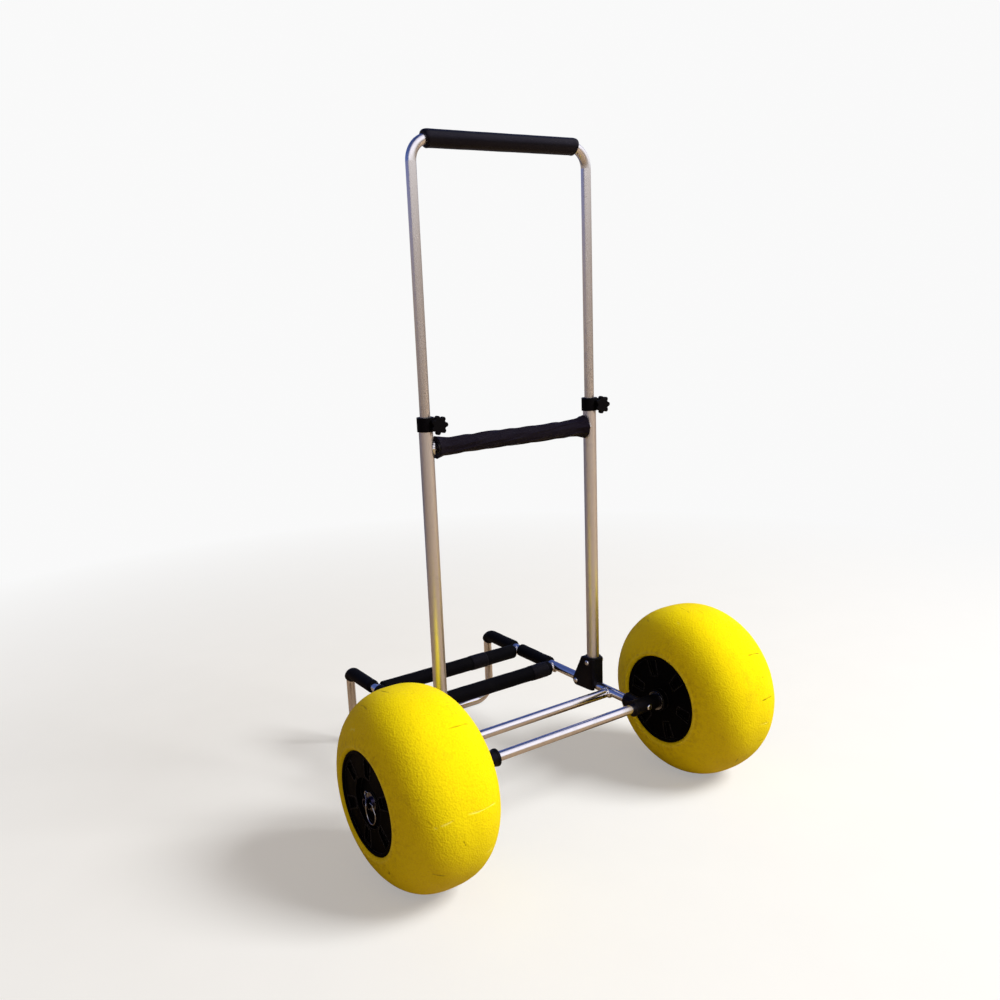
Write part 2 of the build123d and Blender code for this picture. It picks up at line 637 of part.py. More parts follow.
def tyre():
    """The balloon tyre: a superellipse section turned about the axle."""
    span = WHEEL_RADIUS - TYRE_CROWN_START

    def half_width(radius):
        share = max(0.0, (radius - TYRE_CROWN_START) / span)
        return TYRE_HALF_WIDTH * (1 - share**TYRE_CROWN_POWER) ** (1 / TYRE_SIDE_POWER)

    bore = HUB_RADIUS + FIT
    side = half_width(bore)
    curve = []
    for step in range(TYRE_POINTS + 1):
        # Points close up towards the crown, where the section turns fastest.
        share = math.sin(math.pi / 2 * step / TYRE_POINTS)
        radius = bore + RIM_ROUNDING + (WHEEL_RADIUS - bore - RIM_ROUNDING) * share
        curve.append((half_width(radius), radius))
    mirrored = [(-x, radius) for x, radius in reversed(curve[:-1])]
    tread = Spline(*curve, *mirrored)
    rim = [(-curve[0][0], curve[0][1]), (-side + RIM_ROUNDING, bore), (side - RIM_ROUNDING, bore), curve[0]]
    section = make_face([tread, Polyline(*rim)])
    upright_plane = Plane(origin=(0, 0, 0), x_dir=(1, 0, 0), z_dir=(0, -1, 0))
    return revolve(upright_plane * section, Axis.X)


def pocket_outline(margin):
    """The plan of one hub pocket, grown by a margin, with rounded inner corners."""
    inner = POCKET_INNER_R - margin
    inner_half = POCKET_INNER_WIDTH / 2 + margin
    outer_half = POCKET_OUTER_WIDTH / 2 + margin
    outer = POCKET_OUTER_R
    corners = [(inner, -inner_half), (outer, -outer_half), (outer, outer_half), (inner, inner_half)]
    outline = make_face(Polyline(*corners, close=True))
    return fillet(outline.vertices().group_by(Axis.X)[0], POCKET_ROUNDING)


def pocket_prism(turn, margin, start, end):
    """A pocket's plan, turned about the wheel's axis and given depth along it."""
    face = Plane(origin=(start, 0, 0), x_dir=(0, 1, 0), z_dir=(1, 0, 0))
    return Rot(turn, 0, 0) * extrude(face * pocket_outline(margin), end - start)


def hub_half(turn, is_outer):
    """Half the hub: a drum, a face with pockets, and a boss for one axle bush."""
    body = wheel_ring(HUB_RADIUS, HUB_RADIUS - HUB_WALL, FIT, HUB_LIP)
    body = fillet(body.edges().filter_by(GeomType.CIRCLE).group_by(Axis.X)[-1], HUB_LIP_ROUNDING)
    face_back = HUB_FACE - HUB_FACE_THICKNESS
    face_radius = HUB_RADIUS - HUB_WALL / 2
    if is_outer:
        # A dish in the middle leaves room for the axle's end and its wire pin.
        dish_back = DISH_FLOOR - DISH_FLOOR_THICKNESS
        body += wheel_ring(face_radius, DISH_RADIUS, face_back, HUB_FACE)
        body += wheel_ring(DISH_RADIUS + DISH_WALL, DISH_RADIUS, dish_back, HUB_FACE)
        body += wheel_ring(DISH_RADIUS + DISH_WALL, BUSH_RADIUS + FIT, dish_back, DISH_FLOOR)
        boss_end = DISH_FLOOR
    else:
        body += wheel_ring(face_radius, BUSH_RADIUS + FIT, face_back, HUB_FACE)
        body += wheel_ring(INNER_RING_RADIUS, BOSS_RADIUS, face_back, INNER_BOSS_END)
        boss_end = INNER_BOSS_END - BUSH_FLANGE
    body += wheel_ring(BOSS_RADIUS, BUSH_RADIUS + FIT, boss_end - BOSS_LENGTH, boss_end)
    for pocket in range(POCKETS):
        angle = turn + 360 / POCKETS * pocket
        body += pocket_prism(angle, POCKET_WALL, HUB_FACE - POCKET_DEPTH, HUB_FACE + POCKET_LIP)
        body -= pocket_prism(angle, 0, HUB_FACE - POCKET_DEPTH + POCKET_WALL, HUB_FACE + 2 * POCKET_LIP)
    return body


def axle_bush(boss_end):
    """A flanged bush in one of the hub's bosses."""
    bore = TUBE_RADIUS + RUNNING
    bush = wheel_ring(BUSH_RADIUS, bore, boss_end - BUSH_LENGTH, boss_end + FIT)
    return bush + wheel_ring(BUSH_FLANGE_RADIUS, bore, boss_end + FIT, boss_end + BUSH_FLANGE)


def write_wheel(side_name, side, turn):
    """One wheel's pieces, at their place on the cart."""

    def place(shape, outward=1):
        # A mirror image across the wheel's middle plane points the piece's +X the other way.
        facing = side * outward
        turned = shape if facing > 0 else mirror(shape, about=Plane.YZ)
        return Pos(side * WHEEL_X, AXLE_Y, BED_Z) * turned

    write(f"foam_tyre_{side_name}", place(tyre()))
    write(f"hub_outer_{side_name}", place(hub_half(turn, True)))
    write(f"hub_inner_{side_name}", place(hub_half(turn, False), -1))
    bushes = [
        *place(axle_bush(DISH_FLOOR)).solids(),
        *place(axle_bush(INNER_BOSS_END - BUSH_FLANGE), -1).solids(),
    ]
    write(f"axle_bushes_{side_name}", Compound(bushes))


def write_base():
    write("base_tube", base_tube())
    write("bare_crossbar", bare_crossbar())
    write("axle_tube", axle_tube())
    for name, y, band_x in (("rear", REAR_BAR_Y, REAR_BAND_X), ("front", FRONT_BAR_Y, FRONT_BAND_X)):
        write(f"{name}_crossbar", crossbar(y))
        write(f"{name}_crossbar_foam", bar_foam(y))
        write(f"{name}_wrap_band", wrap_band(band_x, y))
    write_pair("rail_middle_foam", rail_middle_foam())
    write_pair("rail_front_foam", rail_front_foam())
    write_pair("axle_connector", axle_connector())
    write("connector_screws", both_sides(connector_screw()))
    write("thrust_washers", both_sides(thrust_washers()))
    write("fold_pivot_bolts", both_sides(bracket_bolt(PIVOT_Y, BED_Z)))
    write("fold_pivot_nuts", both_sides(bracket_nut(PIVOT_Y, BED_Z)))
    write_pair("wire_pin", wire_pin())


def write_uprights():
    # The clamps on both tubes face the same way, so the tubes' slots do too.
    right_tube = lower_tube()
    write("lower_tube_right", right_tube - relief_slot(RAIL_X))
    write("lower_tube_left", mirror(right_tube, about=Plane.YZ) - relief_slot(-RAIL_X))
    write("middle_bar", middle_bar())
    write("middle_bar_sleeve", middle_sleeve())
    write_pair("hinge_bracket", hinge_bracket())
    write("socket_bolts", both_sides(bracket_bolt(UPRIGHT_Y, SOCKET_BOLT_Z)))
    write("socket_nuts", both_sides(bracket_nut(UPRIGHT_Y, SOCKET_BOLT_Z)))
    for side_name, tube_x in (("left", -RAIL_X), ("right", RAIL_X)):
        write(f"collar_clamp_{side_name}", collar(tube_x))
        write(f"star_knob_{side_name}", star_knob(tube_x))
        write(f"clamp_screw_{side_name}", clamp_screw(tube_x))
    write("clamp_nuts", Compound([clamp_nut(-RAIL_X), clamp_nut(RAIL_X)]))
    write("guide_bushes", both_sides(guide_bush()))


def write_handle():
    write("handle_tube", handle_tube())
    write("handle_grip", handle_grip())
    write("guide_plugs", both_sides(guide_plug()))


os.makedirs("parts", exist_ok=True)
write_base()
write_uprights()
write_handle()
write_wheel("left", -1, LEFT_WHEEL_TURN)
write_wheel("right", 1, RIGHT_WHEEL_TURN)
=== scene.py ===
import math
import bmesh
import bpy
import numpy as np
from mathutils import Matrix, Vector, noise


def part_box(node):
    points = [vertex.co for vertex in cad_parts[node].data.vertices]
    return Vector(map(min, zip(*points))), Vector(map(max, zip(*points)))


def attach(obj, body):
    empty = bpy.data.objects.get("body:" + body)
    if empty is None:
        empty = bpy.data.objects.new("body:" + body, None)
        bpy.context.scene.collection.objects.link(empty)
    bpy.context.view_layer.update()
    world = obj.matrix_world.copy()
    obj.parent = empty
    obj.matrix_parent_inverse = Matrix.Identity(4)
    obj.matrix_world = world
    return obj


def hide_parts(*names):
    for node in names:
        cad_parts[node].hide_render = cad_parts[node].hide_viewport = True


# Beach cart. Metres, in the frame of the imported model: +X across the cart along the axle, +Y
# forward, +Z up. Foam, fabric and tyres are built here; metal and hard plastic are the CAD's own.

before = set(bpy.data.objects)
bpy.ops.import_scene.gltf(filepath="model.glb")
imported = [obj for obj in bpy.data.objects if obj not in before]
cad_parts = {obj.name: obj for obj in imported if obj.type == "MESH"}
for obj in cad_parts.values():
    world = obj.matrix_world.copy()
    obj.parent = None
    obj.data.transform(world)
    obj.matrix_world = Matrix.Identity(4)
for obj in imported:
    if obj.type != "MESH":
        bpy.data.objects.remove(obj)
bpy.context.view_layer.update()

MM = 0.001
X_AXIS = Vector((1, 0, 0))
Y_AXIS = Vector((0, 1, 0))
Z_AXIS = Vector((0, 0, 1))
TUBE_RADIUS = 8 * MM
TUBE_GAP = 0.06 * MM  # between a tube and what sits on it


def centre(node):
    """The middle of a CAD node's box."""
    low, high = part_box(node)
    return (low + high) / 2


def half_size(node):
    """Half the sides of a CAD node's box."""
    low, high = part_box(node)
    return (high - low) / 2


# ---- Materials ----


class Nodes:
    """A node tree, with short calls for the nodes that this script uses."""

    def __init__(self, tree):
        self.tree = tree

    def feed(self, socket, value):
        if isinstance(value, bpy.types.NodeSocket):
            self.tree.links.new(value, socket)
        else:
            socket.default_value = value

    def node(self, kind, inputs=None, **settings):
        made = self.tree.nodes.new(kind)
        for key, value in settings.items():
            setattr(made, key, value)
        for key, value in (inputs or {}).items():
            self.feed(made.inputs[key], value)
        return made

    def math(self, operation, first, second=0.0):
        return self.node("ShaderNodeMath", {0: first, 1: second}, operation=operation).outputs[0]

    def times(self, first, second):
        return self.math("MULTIPLY", first, second)

    def axis(self, vector, number):
        """One part of a vector: 0 for X, 1 for Y and 2 for Z."""
        return self.node("ShaderNodeSeparateXYZ", {0: vector}).outputs[number]

    def vector_math(self, operation, first, second, output=0):
        inputs = {0: first, 1: second}
        return self.node("ShaderNodeVectorMath", inputs, operation=operation).outputs[output]

    def spread(self, value, low, high, to_low=0.0, to_high=1.0):
        """A value between low and high, carried over to another range and held inside it."""
        inputs = {0: value, 1: low, 2: high, 3: to_low, 4: to_high}
        return self.node("ShaderNodeMapRange", inputs).outputs[0]

    def mix(self, share, first, second):
        made = self.node("ShaderNodeMix", data_type="RGBA")
        colour_inputs = [socket for socket in made.inputs if socket.type == "RGBA"]
        self.feed(made.inputs[0], share)
        self.feed(colour_inputs[0], first)
        self.feed(colour_inputs[1], second)
        return next(socket for socket in made.outputs if socket.type == "RGBA")

    def mix_shaders(self, share, first, second):
        return self.node("ShaderNodeMixShader", {0: share, 1: first, 2: second}).outputs[0]

    def ray_is(self, kind):
        """1 for rays of this kind, such as Camera or Glossy, and 0 for all others."""
        return self.node("ShaderNodeLightPath").outputs[f"Is {kind} Ray"]


class Shader(Nodes):
    """A material's node tree, with the noises and bumps that its finish is made of."""

    def __init__(self, name):
        self.material = bpy.data.materials.new(name)
        self.material.use_nodes = True
        super().__init__(self.material.node_tree)
        self.surface = self.tree.nodes["Principled BSDF"]
        self.place = self.node("ShaderNodeTexCoord").outputs["Object"]

    def stretched(self, scales):
        """Object coordinates, scaled by a different number on each axis."""
        return self.vector_math("MULTIPLY", self.place, scales)

    def noise(self, scale, detail=2.0, vector=None, roughness=0.5):
        inputs = {"Vector": vector or self.place, "Scale": scale, "Detail": detail, "Roughness": roughness}
        return self.node("ShaderNodeTexNoise", inputs).outputs["Fac"]

    def patches(self, scale, detail, low, high, roughness=0.5):
        """Noise with its values from low to high stretched to run from 0 to 1."""
        return self.spread(self.noise(scale, detail, roughness=roughness), low, high)

    def cells(self, scale, feature="F1"):
        inputs = {"Vector": self.place, "Scale": scale}
        return self.node("ShaderNodeTexVoronoi", inputs, feature=feature).outputs["Distance"]

    def attribute(self, name):
        return self.node("ShaderNodeAttribute", attribute_name=name).outputs["Fac"]

    def bump(self, height, distance, normal=None, strength=1.0):
        inputs = {"Height": height, "Distance": distance, "Strength": strength}
        if normal is not None:
            inputs["Normal"] = normal
        return self.node("ShaderNodeBump", inputs).outputs[0]

    def bevel(self, radius):
        return self.node("ShaderNodeBevel", {"Radius": radius}, samples=6).outputs[0]

    def edge_mask(self, bevelled):
        """How far the bevelled normal leans away from the face: 0 on faces, 1 on edges."""
        facing = self.node("ShaderNodeNewGeometry").outputs["Normal"]
        straight = self.vector_math("DOT_PRODUCT", facing, bevelled, "Value")
        return self.spread(straight, 0.995, 0.80)

    def finish(self, **values):
        """Set the surface's inputs, each named by its title in lower case with underscores."""
        for key, value in values.items():
            title = key.replace("_", " ").title().replace("Ior", "IOR")
            self.feed(self.surface.inputs[title], value)
        return self.material


COOL_GLOSS = (0.65, 0.58, 0.95, 1.0)  # black pieces shine faintly violet under a blue sky


def grey(level, blue=1.0):
    return (level, level, level * blue, 1.0)


def drawn_streaks(shader, along):
    """Fine lines left by drawing a tube, running along one axis."""
    scales = [1400.0, 1400.0, 1400.0]
    scales["xyz".index(along)] = 12.0
    return shader.noise(1.0, 3.0, shader.stretched(scales), 0.6)


def aluminium(name, streaks_for, dullness=0.0, shade_painted_beyond=1.0):
    """Drawn and polished tube: streaks along it, salt bloom, scuffs, painted shade in bores and tight
    corners, and painted shade on its ends if asked.
    """
    shader = Shader(name)
    streaks = streaks_for(shader)
    bloom = shader.patches(38.0, 5.0, 0.54, 0.76, 0.62)
    pits = shader.spread(shader.cells(420.0), 0.03, 0.12)
    scuffs = shader.patches(170.0, 4.0, 0.66, 0.74)
    colour = shader.mix(bloom, (0.88, 0.87, 0.89, 1.0), (0.76, 0.75, 0.77, 1.0))
    colour = shader.mix(scuffs, colour, (0.95, 0.94, 0.95, 1.0))
    # Painted shade: where ambient occlusion finds the tube closed in, in bores, tube ends and tight corners
    # at joints, its colour goes near black.
    openness = shader.node("ShaderNodeAmbientOcclusion", {"Distance": 9 * MM}, samples=8).outputs["AO"]
    colour = shader.mix(shader.spread(openness, 0.12, 0.40), (0.04, 0.035, 0.04, 1.0), colour)
    # Painted shade on the tube's ends, past a distance from the middle along X: the axle's ends sit down in
    # the shaded hub dishes.
    across = shader.math("ABSOLUTE", shader.axis(shader.place, 0))
    painted_end_shade = shader.math("GREATER_THAN", across, shade_painted_beyond)
    colour = shader.mix(painted_end_shade, colour, (0.07, 0.06, 0.13, 1.0))
    roughness = shader.spread(streaks, 0.3, 0.7, 0.13 + dullness, 0.21 + dullness)
    roughness = shader.math("ADD", roughness, shader.times(bloom, 0.07))
    roughness = shader.math("ADD", roughness, shader.times(scuffs, 0.08))
    normal = shader.bump(streaks, 0.002 * MM)
    normal = shader.bump(pits, 0.003 * MM, normal)
    return shader.finish(base_color=colour, metallic=1.0, roughness=roughness, normal=normal)


def straight_streaks(axis):
    return lambda shader: drawn_streaks(shader, axis)


def share_beyond(shader, axis, place, width=2 * MM):
    """0 before a place along an axis, 1 after it."""
    return shader.spread(shader.axis(shader.place, "XYZ".index(axis)), place - width, place + width)


def blend_values(shader, share, first, second):
    inputs = {0: share, 2: first, 3: second}
    return shader.node("ShaderNodeMix", inputs, data_type="FLOAT").outputs[0]


def base_tube_streaks(shader):
    """The base tube runs along Y, then down its front legs, then across its foot bar."""
    low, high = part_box("base_tube")
    on_leg = share_beyond(shader, "Y", high.y - 2.4 * TUBE_RADIUS)
    above_foot = share_beyond(shader, "Z", low.z + 2.4 * TUBE_RADIUS)
    leg = blend_values(shader, above_foot, drawn_streaks(shader, "x"), drawn_streaks(shader, "z"))
    return blend_values(shader, on_leg, drawn_streaks(shader, "y"), leg)


def handle_tube_streaks(shader):
    """The handle's legs run along Z and its top across."""
    on_top = share_beyond(shader, "Z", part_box("handle_tube")[1].z - 2.4 * TUBE_RADIUS)
    return blend_values(shader, on_top, drawn_streaks(shader, "z"), drawn_streaks(shader, "x"))


def weld_metal():
    """Aluminium weld bead: bright crests, with a grey bloom in the valleys."""
    shader = Shader("weld_aluminium")
    crest = shader.attribute("crest")
    tint = shader.mix(shader.noise(500.0, 3.0), (0.80, 0.80, 0.83, 1.0), (0.93, 0.92, 0.90, 1.0))
    colour = shader.mix(shader.spread(crest, 0.0, 0.7), (0.42, 0.40, 0.40, 1.0), tint)
    roughness = shader.spread(crest, 0.0, 1.0, 0.42, 0.20)
    normal = shader.bump(shader.noise(900.0, 4.0), 0.05 * MM)
    return shader.finish(base_color=colour, metallic=1.0, roughness=roughness, normal=normal)


def zinc_steel(name, brightness=1.0):
    """Zinc plate: faint crystals, dull spots and brighter edges; a brightness below 1 darkens it all towards
    violet-black.
    """
    shader = Shader(name)
    bevelled = shader.bevel(0.35 * MM)
    edge_lightening = shader.edge_mask(bevelled)
    mottle = shader.noise(700.0, 4.0)
    rust = shader.patches(210.0, 5.0, 0.66, 0.74, 0.7)
    colour = shader.mix(mottle, (0.72, 0.72, 0.74, 1.0), (0.88, 0.88, 0.90, 1.0))
    colour = shader.mix(edge_lightening, colour, (0.93, 0.93, 0.93, 1.0))
    colour = shader.mix(shader.times(rust, 0.5), colour, (0.30, 0.17, 0.08, 1.0))
    # Painted shade: below 1, brightness darkens the whole colour, which the thrust washers take for lying in
    # the shaded hub dish; the wire pins are darkened the same way.
    colour = shader.mix(brightness, (0.02, 0.018, 0.03, 1.0), colour)
    roughness = shader.spread(mottle, 0.3, 0.7, 0.16, 0.30)
    normal = shader.bump(mottle, 0.03 * MM, bevelled)
    return shader.finish(base_color=colour, metallic=1.0, roughness=roughness, normal=normal)


def moulded_plastic(name, level, roughness, round_off, shine=0.10, grain=0.05 * MM, dust=0.25, scuff_and_highlight_level=0.026):
    """Black moulded plastic: spark-eroded grain, rounded edges lightened by scuffs and by a painted
    highlight, and a film of salt dust.
    """
    shader = Shader(name)
    bevelled = shader.bevel(round_off)
    patches = shader.patches(260.0, 4.0, 0.3, 0.6)
    edge_lightening = shader.times(shader.edge_mask(bevelled), patches)
    film = shader.patches(33.0, 6.0, 0.46, 0.78, 0.68)
    scratches = shader.noise(1.0, 4.0, shader.stretched((90.0, 700.0, 140.0)), 0.65)
    scratches = shader.spread(scratches, 0.66, 0.74)
    colour = shader.mix(shader.times(film, dust), grey(level, 1.12), grey(level * 3.2, 1.05))
    # Edges lightened on scuffed patches: partly real wear, partly a painted highlight along the moulded
    # edges.
    colour = shader.mix(shader.times(edge_lightening, 0.65), colour, grey(scuff_and_highlight_level, 1.2))
    colour = shader.mix(shader.times(scratches, 0.35), colour, grey(level * 5.0))
    rough = shader.math("ADD", roughness, shader.times(film, 0.18))
    fine = shader.noise(2300.0, 2.0)
    normal = shader.bump(fine, grain, bevelled)
    normal = shader.bump(shader.noise(95.0, 2.0), 0.12 * MM, normal)
    return shader.finish(
        base_color=colour, roughness=rough, normal=normal, specular_ior_level=shine, specular_tint=COOL_GLOSS,
    )


def tyre_foam():
    """Yellow moulded foam: pebbled skin, sandy grime, scuffs, dirt in the cuts, and a painted highlight along
    the bead ridge.
    """
    shader = Shader("tyre_foam")
    pebbles = shader.cells(400.0, "SMOOTH_F1")
    pores = shader.spread(shader.cells(230.0), 0.02, 0.10)
    broad = shader.noise(14.0, 5.0, roughness=0.6)
    fine = shader.noise(1500.0, 3.0)
    colour = shader.mix(broad, (0.915, 0.740, 0.0015, 1.0), (0.950, 0.810, 0.0040, 1.0))
    valleys = shader.spread(pebbles, 0.35, 0.80)
    colour = shader.mix(shader.times(valleys, 0.25), colour, (0.60, 0.38, 0.0, 1.0))
    grime = shader.patches(24.0, 7.0, 0.57, 0.80, 0.72)
    grain = shader.spread(shader.noise(420.0, 3.0), 0.35, 0.65, 0.25, 1.0)
    grime = shader.times(grime, grain)
    colour = shader.mix(shader.times(grime, 0.6), colour, (0.36, 0.22, 0.01, 1.0))
    smear = shader.patches(130.0, 6.0, 0.45, 0.68)
    smear = shader.times(shader.attribute("rubbed"), smear)
    colour = shader.mix(shader.times(smear, 0.4), colour, (0.40, 0.26, 0.005, 1.0))
    specks = shader.math("SUBTRACT", 1.0, pores)
    specks = shader.times(specks, shader.patches(60.0, 2.0, 0.52, 0.62))
    colour = shader.mix(shader.times(specks, 0.6), colour, (0.30, 0.17, 0.0, 1.0))
    colour = shader.mix(shader.attribute("dirt"), colour, (0.13, 0.075, 0.0, 1.0))
    # Paler along pale scratches, and along the bead ridge round the hub, where the paleness is a painted
    # highlight.
    colour = shader.mix(shader.attribute("pale"), colour, (1.0, 0.93, 0.16, 1.0))
    roughness = shader.spread(broad, 0.3, 0.7, 0.55, 0.66)
    normal = shader.bump(pebbles, 0.55 * MM)
    normal = shader.bump(fine, 0.08 * MM, normal)
    normal = shader.bump(pores, 0.14 * MM, normal, 0.5)
    return shader.finish(base_color=colour, roughness=roughness, normal=normal, specular_ior_level=0.22)


def black_foam(name, level, roughness, cell_size, sheen, shine=0.07):
    """Closed-cell foam skin: cells, chafed patches, dust in the cells and a soft sheen."""
    shader = Shader(name)
    cell = shader.cells(1.0 / cell_size, "SMOOTH_F1")
    pits = shader.spread(shader.cells(0.35 / cell_size), 0.04, 0.14)
    chafe = shader.patches(45.0, 6.0, 0.48, 0.74, 0.66)
    colour = shader.mix(shader.times(chafe, 0.6), grey(level, 1.2), grey(level * 2.3, 1.12))
    grains = shader.spread(shader.cells(900.0), 0.13, 0.05)
    sand = shader.times(grains, shader.spread(chafe, 0.3, 0.8))
    colour = shader.mix(shader.times(sand, 0.5), colour, (0.30, 0.26, 0.21, 1.0))
    rough = shader.math("ADD", roughness, shader.times(chafe, 0.12))
    normal = shader.bump(cell, 0.10 * MM, strength=0.8)
    normal = shader.bump(pits, 0.10 * MM, normal, 0.6)
    # The sheen is tinted blue: a painted reflection of the sky.
    return shader.finish(
        base_color=colour, roughness=rough, normal=normal, specular_ior_level=shine, specular_tint=COOL_GLOSS,
        sheen_weight=sheen, sheen_roughness=0.45, sheen_tint=(0.75, 0.78, 1.0, 1.0),
    )


def woven(name, level, thread, sheen, tint):
    """Plain weave drawn from the piece's own UVs, which are in metres, with lint."""
    shader = Shader(name)
    uv = shader.node("ShaderNodeUVMap", uv_map="cloth").outputs[0]
    turns = [shader.times(shader.axis(uv, number), math.pi / thread) for number in (0, 1)]
    waves = [shader.math("SINE", turn) for turn in turns]
    over = shader.times(waves[0], waves[1])
    warp = shader.math("ABSOLUTE", waves[0])
    weft = shader.math("ABSOLUTE", waves[1])
    weave = blend_values(shader, shader.spread(over, -0.15, 0.15), warp, weft)
    lint = shader.patches(70.0, 6.0, 0.50, 0.80, 0.7)
    dark = (level * tint[0], level * tint[1], level * tint[2], 1.0)
    light = tuple(2.6 * channel for channel in dark[:3]) + (1.0,)
    colour = shader.mix(shader.spread(weave, 0.1, 0.95), dark, light)
    colour = shader.mix(shader.times(lint, 0.25), colour, grey(level * 4.5, 1.1))
    normal = shader.bump(weave, 0.16 * MM, strength=0.9)
    normal = shader.bump(shader.noise(1800.0, 2.0), 0.04 * MM, normal)
    # The sheen is tinted violet: a painted reflection of the sky.
    return shader.finish(
        base_color=colour, roughness=0.5, normal=normal, specular_ior_level=0.13, specular_tint=COOL_GLOSS,
        sheen_weight=sheen, sheen_roughness=0.35, sheen_tint=(0.72, 0.66, 1.0, 1.0),
    )


# ---- Mesh building ----


def new_object(name, data):
    """An object for some data, linked into the scene."""
    made = bpy.data.objects.new(name, data)
    bpy.context.scene.collection.objects.link(made)
    return made


def mesh_object(name, points, faces, material, body, loop_uvs=None, values=None):
    """A smooth-shaded object from points and faces, riding on a CAD body."""
    mesh = bpy.data.meshes.new(name)
    mesh.from_pydata([tuple(point) for point in points], [], faces)
    mesh.polygons.foreach_set("use_smooth", [True] * len(mesh.polygons))
    if loop_uvs is not None:
        layer = mesh.uv_layers.new(name="cloth")
        layer.data.foreach_set("uv", np.asarray(loop_uvs, float).ravel())
    for key, numbers in (values or {}).items():
        layer = mesh.attributes.new(key, "FLOAT", "POINT")
        layer.data.foreach_set("value", np.asarray(numbers, float).ravel())
    mesh.materials.append(material)
    mesh.update()
    solid = bmesh.new()
    solid.from_mesh(mesh)
    if solid.calc_volume(signed=True) < 0:
        mesh.flip_normals()
    solid.free()
    made = new_object(name, mesh)
    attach(made, body)
    return made


def ring_faces(rings, turns, closed=True):
    """Quads between rings of points, where each ring closes on itself, and so does their row."""
    faces = []
    last = rings if closed else rings - 1
    for ring in range(last):
        here = ring * turns
        after = (ring + 1) % rings * turns
        for turn in range(turns):
            beside = (turn + 1) % turns
            faces.append((here + turn, here + beside, after + beside, after + turn))
    return faces


def ring_uvs(places, turns, circumference, closed=True):
    """UVs in metres for ring_faces: across is round the piece, up is along it."""
    uvs = []
    last = len(places) if closed else len(places) - 1
    for ring in range(last):
        low = places[ring]
        high = places[(ring + 1) % len(places)]
        for turn in range(turns):
            left = circumference * turn / turns
            right = circumference * (turn + 1) / turns
            uvs += [(left, low), (right, low), (right, high), (left, high)]
    return uvs


class Path:
    """A line through one plane: a straight run, with an arc at either end if asked."""

    def __init__(self, start, end, side, arc_radius=0.0, start_arc=0.0, end_arc=0.0):
        self.start, self.end = Vector(start), Vector(end)
        self.length = (self.end - self.start).length
        self.heading = (self.end - self.start).normalized()
        self.side = Vector(side)
        self.up = self.side.cross(self.heading)
        self.arc_radius = arc_radius
        self.first = -arc_radius * start_arc
        self.last = self.length + arc_radius * end_arc

    def at(self, place):
        """The point and the outward direction at a distance along the path."""
        beyond = place - self.length if place > self.length else min(place, 0.0)
        if beyond == 0.0:
            return self.start + self.heading * place, self.up
        turn = beyond / self.arc_radius
        corner = self.end if beyond > 0 else self.start
        pivot = corner - self.up * self.arc_radius
        out = self.up * math.cos(turn) + self.heading * math.sin(turn)
        return pivot + out * self.arc_radius, out


def lathe(path, outline, angles, relief=None):
    """Rings of points round a path, for an outline of (distance along, radius, is skin)."""
    points = []
    for place, radius, skin in outline:
        origin, out = path.at(place)
        for angle in angles:
            direction = path.side * math.sin(angle) + out * math.cos(angle)
            grown = radius
            if skin and relief:
                grown += skin * relief(place, angle, radius)
            points.append(origin + direction * grown)
    return points


def even_angles(turns):
    return [2 * math.pi * turn / turns for turn in range(turns)]


def lumps(point, size, seed=0.0):
    """Smooth noise between about -1 and 1, for features of about this size."""
    return noise.noise(Vector(point) / size + Vector((seed, 3.7 * seed, -1.9 * seed)))


# ---- Foam sleeves ----

RAIL_BEND = 22 * MM
FOAM_WRAP = math.radians(62)  # how far the front foam follows each rail round its bend
HANDLE_BEND = 32 * MM
GRIP_HALF = 139 * MM


def sleeve_outline(path, radius, bore, rounding, step):
    """A sleeve's closed outline: its skin from end to end, its rounded ends and its bore."""
    first, last = path.first, path.last
    run = last - first - 2 * rounding
    steps = max(8, round(run / step))
    outline = [(first + rounding + run * place / steps, radius, 1.0) for place in range(steps + 1)]
    corner_steps = 6
    corner = []
    for turn in range(1, corner_steps + 1):
        angle = math.pi / 2 * turn / corner_steps
        drop = rounding * (1 - math.cos(angle))
        corner.append((rounding * math.sin(angle), radius - drop, 1 - turn / corner_steps))
    outline += [(last - rounding + reach, size, skin) for reach, size, skin in corner]
    outline += [(last, (bore + radius - rounding) / 2, 0.0), (last, bore, 0.0)]
    inner_steps = max(4, steps // 6)
    outline += [(last - (last - first) * place / inner_steps, bore, 0.0) for place in range(1, inner_steps)]
    outline += [(first, bore, 0.0), (first, (bore + radius - rounding) / 2, 0.0)]
    outline += [(first + rounding - reach, size, skin) for reach, size, skin in reversed(corner)]
    return outline


def foam_relief(path, seed, dents):
    """Uneven foam skin: long lumps, short dimples, and tight necks near the ends."""
    span = path.last - path.first

    def relief(place, angle, radius):
        round_x = math.cos(angle) * radius
        round_y = math.sin(angle) * radius
        point = (place, round_x, round_y)
        long_lump = lumps((place * 0.45, round_x, round_y), 11 * MM, seed) * 0.22 * MM
        dimple = min(0.0, lumps(point, 5 * MM, seed + 5) + 0.25) * 0.35 * MM
        near_end = min(place - path.first, path.last - place)
        swell = 0.22 * MM * math.exp(-(((near_end - 5 * MM) / (4 * MM)) ** 2))
        dent = 0.0
        for share, facing, depth, width in dents:
            off = (place - path.first) / span - share
            turn = math.atan2(math.sin(angle - facing), math.cos(angle - facing)) * radius
            dent -= depth * math.exp(-((off * span / width) ** 2) - (turn / (1.6 * width)) ** 2)
        return long_lump + dimple + swell + dent - 0.15 * MM

    return relief


